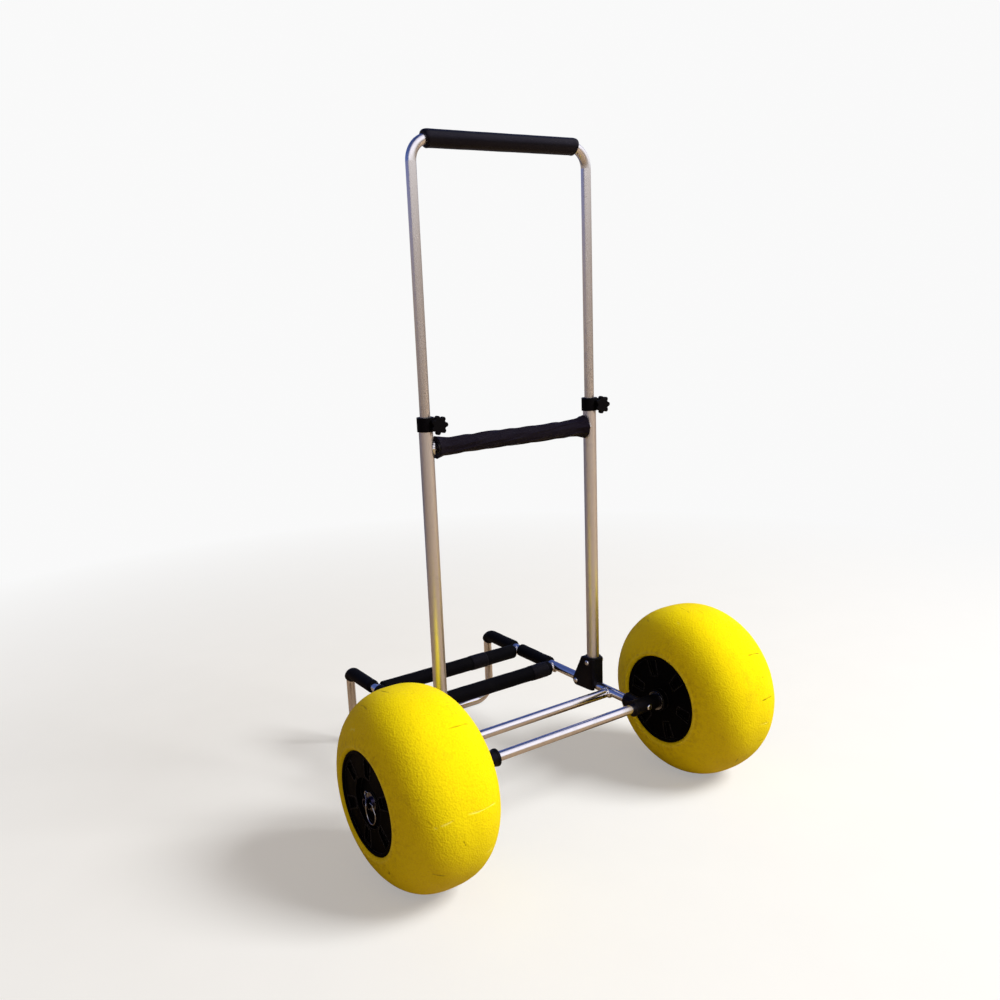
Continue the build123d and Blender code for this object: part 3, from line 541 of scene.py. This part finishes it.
def foam_sleeve(name, path, radius, material, body, seed, rounding=1.5 * MM, dents=()):
    """A foam sleeve that stands for the CAD node of the same name."""
    step = 1.6 * MM
    turns = 64
    outline = sleeve_outline(path, radius, TUBE_RADIUS + TUBE_GAP, rounding, step)
    points = lathe(path, outline, even_angles(turns), foam_relief(path, seed, dents))
    made = mesh_object(f"{name}_foam_skin", points, ring_faces(len(outline), turns), material, body)
    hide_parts(name)


def rail_sleeve_path(name, arc_radius=0.0, arc=0.0):
    """The path of a rail's foam, from its CAD box, with the bend at its front end if it has one."""
    low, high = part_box(name)
    middle = (low + high) / 2
    rail_z = centre("axle_tube").z
    end_y = high.y if arc == 0.0 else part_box("base_tube")[1].y - TUBE_RADIUS - arc_radius
    start = (middle.x, low.y, rail_z)
    return Path(start, (middle.x, end_y, rail_z), X_AXIS, arc_radius, end_arc=arc)


def build_foam(material):
    """Foam on both covered crossbars and on the rails."""
    for number, name in enumerate(("rear_crossbar_foam", "front_crossbar_foam")):
        middle, half = centre(name), half_size(name)
        path = Path(middle - X_AXIS * half.x, middle + X_AXIS * half.x, -Y_AXIS)
        dents = [(0.22 + 0.3 * number, 0.4, 0.5 * MM, 9 * MM), (0.71, -0.9, 0.35 * MM, 6 * MM)]
        foam_sleeve(name, path, half.z, material, "base", 1.3 + 2 * number, dents=dents)
    for number, side in enumerate(("left", "right")):
        name = f"rail_middle_foam_{side}"
        radius = half_size(name).x
        path = rail_sleeve_path(name)
        dents = [(0.6 - 0.3 * number, 0.5, 0.4 * MM, 8 * MM)]
        foam_sleeve(name, path, radius, material, "base", 7.1 + number, dents=dents)
        name = f"rail_front_foam_{side}"
        path = rail_sleeve_path(name, RAIL_BEND, FOAM_WRAP)
        foam_sleeve(name, path, radius, material, "base", 11.9 + number, 2.5 * MM)


def build_grip(material):
    """The grip's foam, which follows the handle a little way round both bends."""
    middle, half = centre("handle_grip"), half_size("handle_grip")
    low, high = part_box("handle_tube")
    straight = (high.x - low.x) / 2 - TUBE_RADIUS - HANDLE_BEND
    axis_z = high.z - TUBE_RADIUS
    start = Vector((-straight, middle.y, axis_z))
    end = Vector((straight, middle.y, axis_z))
    arc = math.asin((GRIP_HALF - straight) / HANDLE_BEND)
    path = Path(start, end, -Y_AXIS, HANDLE_BEND, arc, arc)
    foam_sleeve("handle_grip", path, half.y, material, "handle", 21.4, 3.2 * MM)


# ---- Wrap bands ----

BAND_THICKNESS = 0.55 * MM
BAND_LAP = math.radians(70)


def build_band(name, material, lap_facing):
    """A woven band wound a turn and a bit, so that its end laps over its start."""
    middle, half = centre(name), half_size(name)
    inner = half.z - 1.2 * MM
    turns = 110
    total = 2 * math.pi + BAND_LAP
    rows = 24
    points, sides = [], []
    half_width = half.x - 0.3 * MM
    for step in range(turns + 1):
        travelled = total * step / turns
        climbed = (travelled - 2 * math.pi + BAND_LAP * 0.35) / (BAND_LAP * 0.5)
        lift = (BAND_THICKNESS + 0.05 * MM) * min(1.0, max(0.0, climbed))
        angle = lap_facing - travelled
        for outer in (0, 1):
            for row in range(rows + 1):
                across = row / rows * 2 - 1
                place = across * half_width
                sag = 0.12 * MM * lumps((place, travelled * inner, outer), 9 * MM, 2.0)
                edge = 0.10 * MM * max(0.0, abs(across) - 0.86) / 0.14
                radius = inner + lift + outer * (BAND_THICKNESS - edge) + sag * outer + 0.03 * MM
                direction = Vector((0, math.sin(angle), math.cos(angle)))
                points.append(middle + X_AXIS * place + direction * radius)
    width = rows + 1
    section = list(range(width)) + [width + row for row in reversed(range(width))]
    per_step = 2 * width
    count = len(section)
    faces, uvs = [], []
    for step in range(turns):
        low, high = step * per_step, (step + 1) * per_step
        start, end = (total * inner * (step + extra) / turns for extra in (0, 1))
        for index in range(count):
            one, two = section[index], section[(index + 1) % count]
            faces.append((low + one, low + two, high + two, high + one))
            left, right = ((corner % width) / rows * 2 * half_width for corner in (one, two))
            uvs += [(left, start), (right, start), (right, end), (left, end)]
    for step, order in ((0, -1), (turns, 1)):
        for row in range(rows):
            low = step * per_step + row
            corners = (low, low + 1, low + 1 + width, low + width)
            faces.append(corners[::order])
            uvs += [(0, 0), (0, 1 * MM), (1 * MM, 1 * MM), (1 * MM, 0)]
    made = mesh_object(f"{name}_webbing", points, faces, material, "base", uvs)
    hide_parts(name)


# ---- Middle crossbar sleeve: cloth twisted over padding ----

SIMULATED_SCALE = 20.0  # cloth is simulated larger, where its forces behave
SLEEVE_CORE_RADIUS = 11.4 * MM
SLEEVE_SKIN_RADIUS = 14.2 * MM
SLEEVE_SLACK = 1.07
SLEEVE_TWIST = math.radians(100)
SETTLING_FRAMES = 26


def build_sleeve(material):
    """A padded fabric sleeve, simulated as a slack twisted tube over foam, then given thickness."""
    middle, half = centre("middle_bar_sleeve"), half_size("middle_bar_sleeve")
    turns = 96
    rows = 210
    flare_growth = half.z + 0.3 * MM - SLEEVE_SKIN_RADIUS

    def end_flare(share):
        """How much the cloth spreads near its ends, more on the right, where it is gathered."""
        right = math.exp(-((1 - share) * 2 * half.x / (13 * MM)))
        left = 0.65 * math.exp(-(share * 2 * half.x / (10 * MM)))
        return max(right, left)

    def tube(slack, turned):
        points = []
        for row in range(rows + 1):
            share = row / rows
            place = (share * 2 - 1) * half.x * slack
            flare = end_flare(share)
            for turn in range(turns):
                angle = 2 * math.pi * turn / turns + turned * (share - 0.5)
                gather = flare * 0.55 * MM * math.sin(9 * angle + 2.0)
                radius = (SLEEVE_SKIN_RADIUS + flare_growth * flare) * slack + gather
                around = (place, radius * math.cos(angle), radius * math.sin(angle))
                winding = 3 * angle - place / (7 * MM) + 2.2 * lumps(around, 26 * MM, 4.0)
                fold = 1.2 * MM * math.sin(winding) * (0.7 + 0.6 * lumps(around, 18 * MM, 9.0))
                radius += fold * (1 - flare)
                point = Vector((place, radius * math.sin(angle), radius * math.cos(angle)))
                points.append(point * SIMULATED_SCALE)
        return points

    mesh = bpy.data.meshes.new("sleeve_cloth")
    mesh.from_pydata(tube(1.0, SLEEVE_TWIST), [], ring_faces(rows + 1, turns, closed=False))
    cloth_object = new_object("sleeve_cloth", mesh)
    cloth_object.shape_key_add(name="Basis")
    slack = cloth_object.shape_key_add(name="Slack")
    for index, point in enumerate(tube(SLEEVE_SLACK, 0.0)):
        slack.data[index].co = point
    pinned = cloth_object.vertex_groups.new(name="hems")
    pinned.add(range(2 * turns), 1.0, "REPLACE")
    pinned.add(range((rows - 1) * turns, (rows + 1) * turns), 1.0, "REPLACE")
    core = padding_core(SLEEVE_CORE_RADIUS * SIMULATED_SCALE, half.x * SIMULATED_SCALE * 1.1)
    simulate(cloth_object, slack.name, pinned.name)
    evaluated = cloth_object.evaluated_get(bpy.context.evaluated_depsgraph_get())
    settled = np.array([vertex.co for vertex in evaluated.data.vertices])
    bpy.data.objects.remove(cloth_object)
    bpy.data.objects.remove(core)
    sleeve_solid(settled / SIMULATED_SCALE, middle, half, turns, rows, material)


def padding_core(radius, half_length):
    """The foam under the sleeve, as a rod the cloth rests on."""
    turns, rows = 48, 12
    points = []
    for row in range(rows + 1):
        place = (row / rows * 2 - 1) * half_length
        for turn in range(turns):
            angle = 2 * math.pi * turn / turns
            points.append((place, radius * math.sin(angle), radius * math.cos(angle)))
    mesh = bpy.data.meshes.new("sleeve_core")
    mesh.from_pydata(points, [], ring_faces(rows + 1, turns, closed=False))
    mesh.flip_normals()  # the cloth is kept on the side that the faces point to
    core = new_object("sleeve_core", mesh)
    core.modifiers.new("Collision", "COLLISION")
    core.collision.thickness_outer = 0.02
    core.collision.cloth_friction = 12.0
    return core


def simulate(cloth_object, slack_name, pin_name):
    """Let the slack cloth settle over its core for a few frames."""
    cloth = cloth_object.modifiers.new("Cloth", "CLOTH")
    settings = cloth.settings
    settings.quality = 6
    settings.mass = 0.25
    settings.tension_stiffness = 25.0
    settings.compression_stiffness = 25.0
    settings.shear_stiffness = 12.0
    settings.bending_stiffness = 1.2
    settings.air_damping = 3.0
    settings.effector_weights.gravity = 0.0
    settings.use_pressure = True
    settings.uniform_pressure_force = 1.2
    settings.rest_shape_key = cloth_object.data.shape_keys.key_blocks[slack_name]
    settings.vertex_group_mass = pin_name
    cloth.collision_settings.distance_min = 0.015
    cloth.collision_settings.use_self_collision = True
    cloth.collision_settings.self_distance_min = 0.008
    cloth.point_cache.frame_start = 1
    cloth.point_cache.frame_end = SETTLING_FRAMES
    for step in range(1, SETTLING_FRAMES + 1):
        bpy.context.scene.frame_set(step)


def sleeve_solid(settled, middle, half, turns, rows, material):
    """The settled cloth as a closed skin: capped in radius, hemmed, with an inner side."""
    radius = np.hypot(settled[:, 1], settled[:, 2])
    limit = np.minimum(radius, half.z + 1.2 * MM)
    settled = settled * np.stack([np.ones_like(radius), limit / radius, limit / radius], axis=1)
    settled[:, 0] = np.clip(settled[:, 0], -half.x, half.x)
    outer = [Vector(point) + middle for point in settled]
    inner_radius = TUBE_RADIUS + TUBE_GAP
    inner = []
    inner_rows = 8
    for row in range(inner_rows + 1):
        place = (1 - row / inner_rows * 2) * (half.x - 1.2 * MM)
        for turn in range(turns):
            angle = 2 * math.pi * turn / turns
            point = Vector((place, inner_radius * math.sin(angle), inner_radius * math.cos(angle)))
            inner.append(middle + point)
    lips = [hem_ring(settled, middle, turns, row, inward) for row, inward in ((rows, -1), (0, 1))]
    points = outer + lips[0] + inner + lips[1]
    faces = ring_faces(len(points) // turns, turns)
    places = [row / rows * 2 * half.x for row in range(rows + 1)]
    places += [2 * half.x] + [2 * half.x] * (inner_rows + 1) + [0.0]
    uvs = ring_uvs(places, turns, 2 * math.pi * 13 * MM)
    made = mesh_object("middle_bar_fabric", points, faces, material, "uprights", uvs)
    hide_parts("middle_bar_sleeve")


def hem_ring(settled, middle, turns, row, inward):
    """The inner edge of a hem, a fabric's thickness inside the outer ring."""
    ring = []
    for turn in range(turns):
        point = Vector(settled[row * turns + turn])
        out = Vector((0, point.y, point.z)).normalized()
        ring.append(middle + point - out * 1.6 * MM + X_AXIS * inward * 0.5 * MM)
    return ring


# ---- Tyres ----

TYRE_RADIUS = 150 * MM
TYRE_HALF_WIDTH = 90.5 * MM
CROWN_START = 30 * MM
SIDE_POWER = 2.5
CROWN_POWER = 2.34
TYRE_BORE = 76.55 * MM
RIM_ROUNDING = 6 * MM
BEAD_RIDGE = 6.6 * MM  # from the bore out to the ridge that runs round the hub

# Marks on each tyre, as straight scratches from one place to another. A place is an angle in degrees
# from the top towards the back of the cart, and a distance in millimetres from the wheel's middle
# towards +X. Then come the depth in millimetres, whether it shows dark or pale, and how strongly.
RIGHT_MARKS = [
    ((51, 4), (52, 38), 0.9, "dirt", 0.75),
    ((81, 4), (81, 35), 1.1, "dirt", 0.9),
    ((97, 2), (98, 28), 0.8, "pale", 0.7),
    ((98, 6), (99, 27), 0.7, "dirt", 0.55),
    ((111, 6), (112, 39), 1.2, "dirt", 0.95),
    ((67, 16), (67, 21), 0.6, "dirt", 0.6),
    ((129, -19), (122, -23), 0.5, "dirt", 0.8),
    ((-7, -15), (5, -23), 0.2, "dirt", 0.5),
    ((6, -4), (11, -7), 0.2, "dirt", 0.5),
    ((-28, -48), (-22, -58), 0.3, "dirt", 0.6),
    ((4, -50), (8, -52), 0.2, "pale", 0.5),
]
LEFT_MARKS = [
    ((36, 6), (35, 49), 0.8, "dirt", 0.6),
    ((84, -52), (81, -24), 0.5, "pale", 0.8),
    ((81, -4), (82, 49), 0.5, "pale", 0.85),
    ((111, 28), (111, 52), 0.6, "pale", 0.9),
    ((94, -14), (98, -10), 0.8, "dirt", 0.8),
    ((-22, -23), (-6, -24), 0.4, "dirt", 0.85),
    ((-23, -53), (-9, -58), 0.4, "dirt", 0.6),
    ((-25, -76), (-15, -77), 0.4, "pale", 0.8),
    ((116, -51), (117, -30), 0.6, "dirt", 0.7),
    ((145, -80), (150, -79), 0.5, "dirt", 0.7),
]


def tyre_profile(step, marks):
    """The tyre's closed section as (place along X, radius, is skin), with its rolled rims."""
    rim_radius = TYRE_BORE + RIM_ROUNDING
    span = TYRE_RADIUS - CROWN_START

    def section(turn):
        side = abs(math.cos(turn)) ** (2 / SIDE_POWER) * TYRE_HALF_WIDTH
        rise = math.sin(turn) ** (2 / CROWN_POWER) * span
        return math.copysign(side, -math.cos(turn)), CROWN_START + rise

    first = math.asin(((rim_radius - CROWN_START) / span) ** (CROWN_POWER / 2))
    samples = 4000
    turns = [first + (math.pi - 2 * first) * number / samples for number in range(samples + 1)]
    dense = np.array([section(turn) for turn in turns])
    lengths = np.concatenate([[0.0], np.cumsum(np.hypot(*np.diff(dense, axis=0).T))])
    # Points close up where a mark runs round the tyre.
    closeness = np.ones(samples + 1)
    for start, end, *_ in marks:
        if abs(start[0] - end[0]) > 3:
            middle = (start[1] + end[1]) / 2 * MM
            reach = abs(start[1] - end[1]) / 2 * MM + 1.5 * MM
            closeness += 1.6 * (np.abs(dense[:, 0] - middle) < reach)
    closeness = np.minimum(closeness, 2.6)
    weighted = np.concatenate([[0.0], np.cumsum(np.diff(lengths) * closeness[1:])])
    count = round(weighted[-1] / step)
    places = np.interp(np.linspace(0, weighted[-1], count + 1), weighted, lengths)
    skin = zip(np.interp(places, lengths, dense[:, 0]), np.interp(places, lengths, dense[:, 1]))
    outline = [(x, radius, 1.0) for x, radius in skin]
    edge_x = outline[-1][0]
    rim = []
    for turn in (20, 40, 60, 75, 90):
        angle = math.radians(turn)
        inset = RIM_ROUNDING * (1 - math.cos(angle))
        rim.append((edge_x - inset, rim_radius - RIM_ROUNDING * math.sin(angle), 0.0))
    outline += rim
    bore_steps = 10
    reach = edge_x - RIM_ROUNDING
    outline += [(reach * (1 - 2 * place / bore_steps), TYRE_BORE, 0.0) for place in range(1, bore_steps)]
    outline += [(-x, radius, 0.0) for x, radius, _ in reversed(rim)]
    return outline


def tyre_angles(marks, coarse, fine):
    """Angles round the tyre, closer together where a mark crosses the tread."""
    angles = []
    angle = 0.0
    while angle < 2 * math.pi - coarse / 2:
        angles.append(angle)
        near = False
        for start, end, *_ in marks:
            middle = math.radians((start[0] + end[0]) / 2) % (2 * math.pi)
            near |= abs(start[0] - end[0]) < 3 and abs(angle - middle) < math.radians(1.2)
        angle += fine if near else coarse
    return angles


def mark_strength(mark, place, angle, radius):
    """How strongly a mark shows at a place on the tread, from 0 to 1."""
    (start_turn, start), (end_turn, end) = mark[:2]
    turn = math.degrees(angle)
    if turn > 180 and min(start_turn, end_turn) < 0:
        turn -= 360
    if abs(turn - start_turn) > 20:
        return 0.0
    arc = math.radians(1) * radius
    run = Vector((end * MM - start * MM, (end_turn - start_turn) * arc))
    offset = Vector((place - start * MM, (turn - start_turn) * arc))
    along = offset.dot(run) / run.length_squared
    if not 0 < along < 1:
        return 0.0
    off = (offset.x * run.y - offset.y * run.x) / run.length
    off += 0.3 * MM * math.sin(7.3 * along + start_turn)
    width = 0.6 * MM * (1.0 + 0.5 * math.sin(9 * along + start_turn))
    return math.exp(-((off / width) ** 2)) * min(1.0, 6 * along, 6 - 6 * along)


def tyre_relief(place, angle, radius, parting_x, seed):
    """How far the skin stands out: soft dents, small lumps and the mould's parting line."""
    around = Vector((place, radius * math.cos(angle), radius * math.sin(angle)))
    parting = math.exp(-(((place - parting_x) / (1.3 * MM)) ** 2))
    on_circle = (0, 40 * MM * math.cos(angle), 40 * MM * math.sin(angle))
    fade = 0.5 + 0.5 * lumps(on_circle, 20 * MM, seed)
    dents = lumps(around, 34 * MM, seed) * 0.35 * MM
    return dents + lumps(around, 9 * MM, seed + 3) * 0.12 * MM + 0.16 * MM * parting * fade


def build_tyre(side, marks, parting_x, seed, material):
    """A moulded foam tyre: bead by the hub, parting line, cuts and scratches, and soft dents."""
    name = f"foam_tyre_{side}"
    middle = centre(name)
    outline = tyre_profile(1.9 * MM, marks)
    angles = tyre_angles(marks, math.radians(0.9), math.radians(0.22))
    points = []
    shades = {"dirt": [], "pale": [], "rubbed": []}
    for place, radius, skin in outline:
        from_bore = radius - TYRE_BORE
        bead = skin * math.exp(-(((from_bore - BEAD_RIDGE) / (1.4 * MM)) ** 2))
        rubbed = skin * math.exp(-(((from_bore - 8 * MM) / (14 * MM)) ** 2))
        shift = math.copysign(0.8 * MM * bead, place)
        for angle in angles:
            grown = radius
            # The bead ridge round the hub is painted a little paler all round: a painted highlight on its
            # crest.
            shown = {"dirt": 0.0, "pale": 0.25 * bead, "rubbed": rubbed}
            if skin:
                grown += tyre_relief(place, angle, radius, parting_x, seed)
                for mark in marks:
                    strength = mark_strength(mark, place, angle, radius)
                    depth, kind, shade = mark[2:]
                    grown -= depth * MM * strength
                    shown[kind] = max(shown[kind], strength * shade)
            outward = Vector((0, -math.sin(angle), math.cos(angle)))
            points.append(middle + X_AXIS * (place + shift) + outward * grown)
            for kind, share in shown.items():
                shades[kind].append(share)
    faces = ring_faces(len(outline), len(angles))
    made = mesh_object(f"{name}_skin", points, faces, material, f"wheel_{side}", values=shades)
    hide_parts(name)


# ---- Weld beads ----


def bead_loop(bar_centre, side, other_radius, drop, size, ripples, seed):
    """One rippled bead along the joint between a bar along X and the round tube it meets.

    An upright is met square on; a rail of the bar's own size lies a drop above the bar's axis.
    """
    loops, around = 220, 14
    points, crest = [], []
    curve = []
    for step in range(loops):
        angle = 2 * math.pi * step / loops
        offset = TUBE_RADIUS * math.cos(angle)
        rise = TUBE_RADIUS * math.sin(angle)
        across = offset if other_radius > TUBE_RADIUS else rise - drop
        inset = math.sqrt(max(0.0, other_radius**2 - across**2))
        curve.append((inset, offset, rise))
    for step, (inset, offset, rise) in enumerate(curve):
        angle = 2 * math.pi * step / loops
        centre_point = bar_centre + Vector((-side * inset, offset, rise))
        run = Vector(curve[(step + 1) % loops]) - Vector(curve[step - 1])
        tangent = Vector((-side * run.x, run.y, run.z)).normalized()
        out = (Vector((0, offset, rise)).normalized() - X_AXIS * side).normalized()
        out = (out - tangent * out.dot(tangent)).normalized()
        across = tangent.cross(out)
        wobble = 1 + 0.16 * noise.noise(Vector((step * 0.11, seed, 0.3)))
        for turn in range(around):
            spin = 2 * math.pi * turn / around
            lead = 0.9 * math.cos(spin)  # the ripples trail back at the bead's edges
            phase = (ripples * angle - lead) / (2 * math.pi) % 1.0
            ridge = math.sin(math.pi * phase) ** 0.6
            reach = size * wobble * (0.84 + 0.22 * ridge)
            points.append(centre_point + (out * math.cos(spin) + across * math.sin(spin)) * reach)
            crest.append(ridge)
    return points, ring_faces(loops, around), crest


def build_beads(name, body, joints, material):
    """Every bead on one body, as one piece."""
    points, faces, crest = [], [], []
    for joint in joints:
        made_points, made_faces, made_crest = bead_loop(*joint)
        start = len(points)
        points += made_points
        faces += [tuple(corner + start for corner in face) for face in made_faces]
        crest += made_crest
    mesh_object(name, points, faces, material, body, values={"crest": crest})


def build_welds(material):
    """Beads where the crossbars meet the rails, and where the middle bar meets the uprights."""
    rail_x = centre("hinge_bracket_right").x
    joints = []
    for number, bar in enumerate(("bare_crossbar", "rear_crossbar", "front_crossbar")):
        middle = centre(bar)
        drop = centre("axle_tube").z - middle.z
        for side in (-1, 1):
            place = Vector((side * rail_x, middle.y, middle.z))
            joints.append((place, side, TUBE_RADIUS, drop, 3.0 * MM, 17, number + 0.5 * side))
    build_beads("base_weld_beads", "base", joints, material)
    middle = centre("middle_bar")
    upright_radius = half_size("lower_tube_right").x
    joints = []
    for side in (-1, 1):
        place = Vector((side * rail_x, middle.y, middle.z))
        joints.append((place, side, upright_radius, 0.0, 3.3 * MM, 15, 5.0 + side))
    build_beads("upright_weld_beads", "uprights", joints, material)


# ---- Carried-over CAD nodes ----


def paint(material, *nodes):
    """Give CAD nodes a material, on the object so that the mesh stays as packed."""
    for node in nodes:
        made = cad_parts[node]
        if not made.data.materials:
            made.data.materials.append(material)
        for material_slot in made.material_slots:
            material_slot.link = "OBJECT"
            material_slot.material = material


def both(name):
    return f"{name}_left", f"{name}_right"


def paint_cad():
    """Procedural finishes for every CAD node that stays."""
    paint(aluminium("aluminium_base", base_tube_streaks), "base_tube")
    paint(aluminium("aluminium_handle", handle_tube_streaks, 0.08), "handle_tube")
    paint(aluminium("aluminium_upright", straight_streaks("z"), 0.20), *both("lower_tube"))
    bars = ("bare_crossbar", "rear_crossbar", "front_crossbar", "middle_bar")
    paint(aluminium("aluminium_bar", straight_streaks("x")), *bars)
    # The axle's ends get painted shade, as they lie in the shaded hub dishes.
    paint(aluminium("aluminium_axle", straight_streaks("x"), shade_painted_beyond=0.3), "axle_tube")
    # On the hubs the lightened edges are mostly a painted highlight that outlines the pockets.
    hubs = moulded_plastic("hub_plastic", 0.0010, 0.50, 0.8 * MM, 0.03, dust=0.06, scuff_and_highlight_level=0.2)
    paint(hubs, *both("hub_outer"), *both("hub_inner"))
    paint(moulded_plastic("connector_plastic", 0.0026, 0.36, 0.9 * MM, 0.16), *both("axle_connector"))
    paint(moulded_plastic("bracket_plastic", 0.0028, 0.44, 1.2 * MM, 0.16), *both("hinge_bracket"))
    clamps = moulded_plastic("clamp_plastic", 0.0024, 0.42, 0.8 * MM, 0.07)
    paint(clamps, *both("collar_clamp"), *both("star_knob"))
    nylon = moulded_plastic("bush_nylon", 0.030, 0.33, 0.4 * MM, 0.3, 0.02 * MM)
    paint(nylon, *both("axle_bushes"), "guide_bushes", "guide_plugs")
    steel = zinc_steel("zinc_steel")
    bolts = ("fold_pivot_bolts", "fold_pivot_nuts", "socket_bolts", "socket_nuts", "clamp_nuts")
    paint(steel, *bolts, "connector_screws", *both("clamp_screw"))
    paint(zinc_steel("wire_steel", 0.4), *both("wire_pin"))
    # The thrust washers' darkening is painted shade for the hub dish that they sit in.
    paint(zinc_steel("washer_steel", 0.35), "thrust_washers")


# ---- Stage, light and camera ----

BACKDROP = (0.95, 0.95, 0.95, 1.0)
SAND = (0.35, 0.265, 0.19, 1.0)
WATER = (0.16, 0.19, 0.30, 1.0)
HORIZON = (0.34, 0.27, 0.22, 1.0)
LOW_HAZE, HIGH_HAZE = (1.0, 0.97, 0.96, 1.0), (1.25, 1.20, 1.30, 1.0)
LOW_BLUE, HIGH_BLUE = (0.11, 0.17, 0.46, 1.0), (0.035, 0.06, 0.20, 1.0)
AMBIENT = (1.0, 0.72, 0.46, 1.0)
SUNWARD = (0.35, -0.94, 0.0)
LIGHT_TARGET = Vector((0, 0, 0.35))


def build_floor():
    """A pale floor. The cart reflects it as warm sand, with blue water beyond the front legs."""
    radius, turns = 6.0, 96
    points = [(radius * math.cos(angle), radius * math.sin(angle), 0.0) for angle in even_angles(turns)]
    mesh = bpy.data.meshes.new("floor")
    mesh.from_pydata(points, [], [tuple(range(turns))])
    floor = new_object("floor", mesh)
    shader = Shader("floor_pale")
    glow = shader.node("ShaderNodeEmission", {"Color": BACKDROP, "Strength": 1.0}).outputs[0]
    distance = shader.vector_math("LENGTH", shader.place, (0, 0, 0), "Value")
    fade = shader.spread(distance, 0.7, 2.2, 0.35, 1.0)
    mottled = shader.mix(shader.noise(9.0, 4.0), (0.83, 0.855, 0.88, 1.0), (0.87, 0.895, 0.92, 1.0))
    shader.finish(base_color=mottled, roughness=0.9, specular_ior_level=0.1)
    seen = shader.mix_shaders(fade, shader.surface.outputs[0], glow)
    ground = shader.mix(shader.spread(shader.axis(shader.place, 1), 1.0, 1.3), SAND, WATER)
    reflected = shader.node("ShaderNodeBsdfDiffuse", {"Color": ground}).outputs[0]
    both_ways = shader.mix_shaders(shader.ray_is("Camera"), reflected, seen)
    shader.feed(shader.tree.nodes["Material Output"].inputs[0], both_ways)
    mesh.materials.append(shader.material)


def build_world():
    """Near-white to the camera; to the cart, a blue sky with white haze on its sunny side."""
    world = bpy.data.worlds.new("studio")
    bpy.context.scene.world = world
    world.use_nodes = True
    world.node_tree.nodes.clear()
    nodes = Nodes(world.node_tree)
    heading = nodes.node("ShaderNodeTexCoord").outputs["Generated"]
    height = nodes.axis(heading, 2)
    sunward = nodes.vector_math("DOT_PRODUCT", heading, SUNWARD, "Value")
    haze_top = nodes.spread(sunward, -0.2, 0.35, 0.14, 1.6)
    haze = nodes.spread(nodes.math("DIVIDE", height, haze_top), 0.35, 1.0, 1.0, 0.0)
    blue = nodes.mix(nodes.spread(height, 0.1, 0.9), LOW_BLUE, HIGH_BLUE)
    pale = nodes.mix(nodes.spread(height, 0.15, 0.6), LOW_HAZE, HIGH_HAZE)
    pale = nodes.mix(nodes.spread(height, 0.05, 0.20), HORIZON, pale)
    sky_colour = nodes.mix(haze, blue, pale)
    sky = nodes.node("ShaderNodeBackground", {0: sky_colour, 1: 0.95}).outputs[0]
    ambient = nodes.node("ShaderNodeBackground", {0: AMBIENT, 1: 0.23}).outputs[0]
    backdrop = nodes.node("ShaderNodeBackground", {0: BACKDROP, 1: 1.0}).outputs[0]
    lighting = nodes.mix_shaders(nodes.ray_is("Glossy"), ambient, sky)
    seen = nodes.mix_shaders(nodes.ray_is("Camera"), lighting, backdrop)
    nodes.node("ShaderNodeOutputWorld", {0: seen})


def area_light(name, towards, distance, size, power, colour):
    """A soft square light that looks at the cart from a direction."""
    lamp = bpy.data.lights.new(name, "AREA")
    lamp.size = size
    lamp.energy = power
    lamp.color = colour
    made = new_object(name, lamp)
    direction = Vector(towards).normalized()
    made.location = LIGHT_TARGET + direction * distance
    made.rotation_mode = "QUATERNION"
    made.rotation_quaternion = direction.to_track_quat("Z", "Y")
    made.visible_glossy = False  # polished tube reflects the sky alone


def build_lights():
    area_light("key", (0.58, -0.66, 0.75), 6.0, 2.4, 485.0, (1.0, 0.98, 0.94))
    area_light("fill", (-0.9, -0.5, 0.7), 3.5, 2.5, 6.0, (0.90, 0.92, 1.0))


def build_camera():
    """The photograph's viewpoint: behind the cart and to its left, slightly above the wheels."""
    azimuth, elevation, roll = math.radians(-32.2), math.radians(13.5), math.radians(-2.8)
    target = Vector((-0.0293, 0.0921, 0.4492))
    distance = 1.6453
    right = Vector((math.cos(azimuth), math.sin(azimuth), 0))
    level = Vector((math.sin(azimuth), -math.cos(azimuth), 0))
    back = level * math.cos(elevation) + Z_AXIS * math.sin(elevation)
    up = back.cross(right)
    rolled_right = right * math.cos(roll) + up * math.sin(roll)
    rolled_up = up * math.cos(roll) - right * math.sin(roll)
    lens = bpy.data.cameras.new("camera")
    lens.lens = 33.72
    lens.shift_x = 0.0411
    lens.shift_y = 0.0291
    camera = new_object("camera", lens)
    axes = Matrix((rolled_right, rolled_up, back)).transposed()
    camera.matrix_world = Matrix.Translation(target + back * distance) @ axes.to_4x4()
    bpy.context.scene.camera = camera


# ---- Everything together ----

paint_cad()
yellow = tyre_foam()
build_tyre("left", LEFT_MARKS, -11.5 * MM, 1.7, yellow)
build_tyre("right", RIGHT_MARKS, 11.5 * MM, 6.3, yellow)
build_foam(black_foam("bar_foam", 0.0020, 0.60, 0.75 * MM, 0.015))
build_grip(black_foam("grip_foam", 0.0018, 0.34, 0.55 * MM, 0.02, 0.22))
webbing = woven("band_webbing", 0.0016, 0.9 * MM, 0.02, (1.0, 0.97, 1.25))
build_band("front_wrap_band", webbing, math.radians(130))
build_band("rear_wrap_band", webbing, math.radians(115))
build_sleeve(woven("sleeve_nylon", 0.0020, 0.55 * MM, 0.03, (1.2, 0.86, 1.6)))
build_welds(weld_metal())
build_floor()
build_world()
build_lights()
build_camera()
bpy.context.scene.view_settings.view_transform = "Standard"
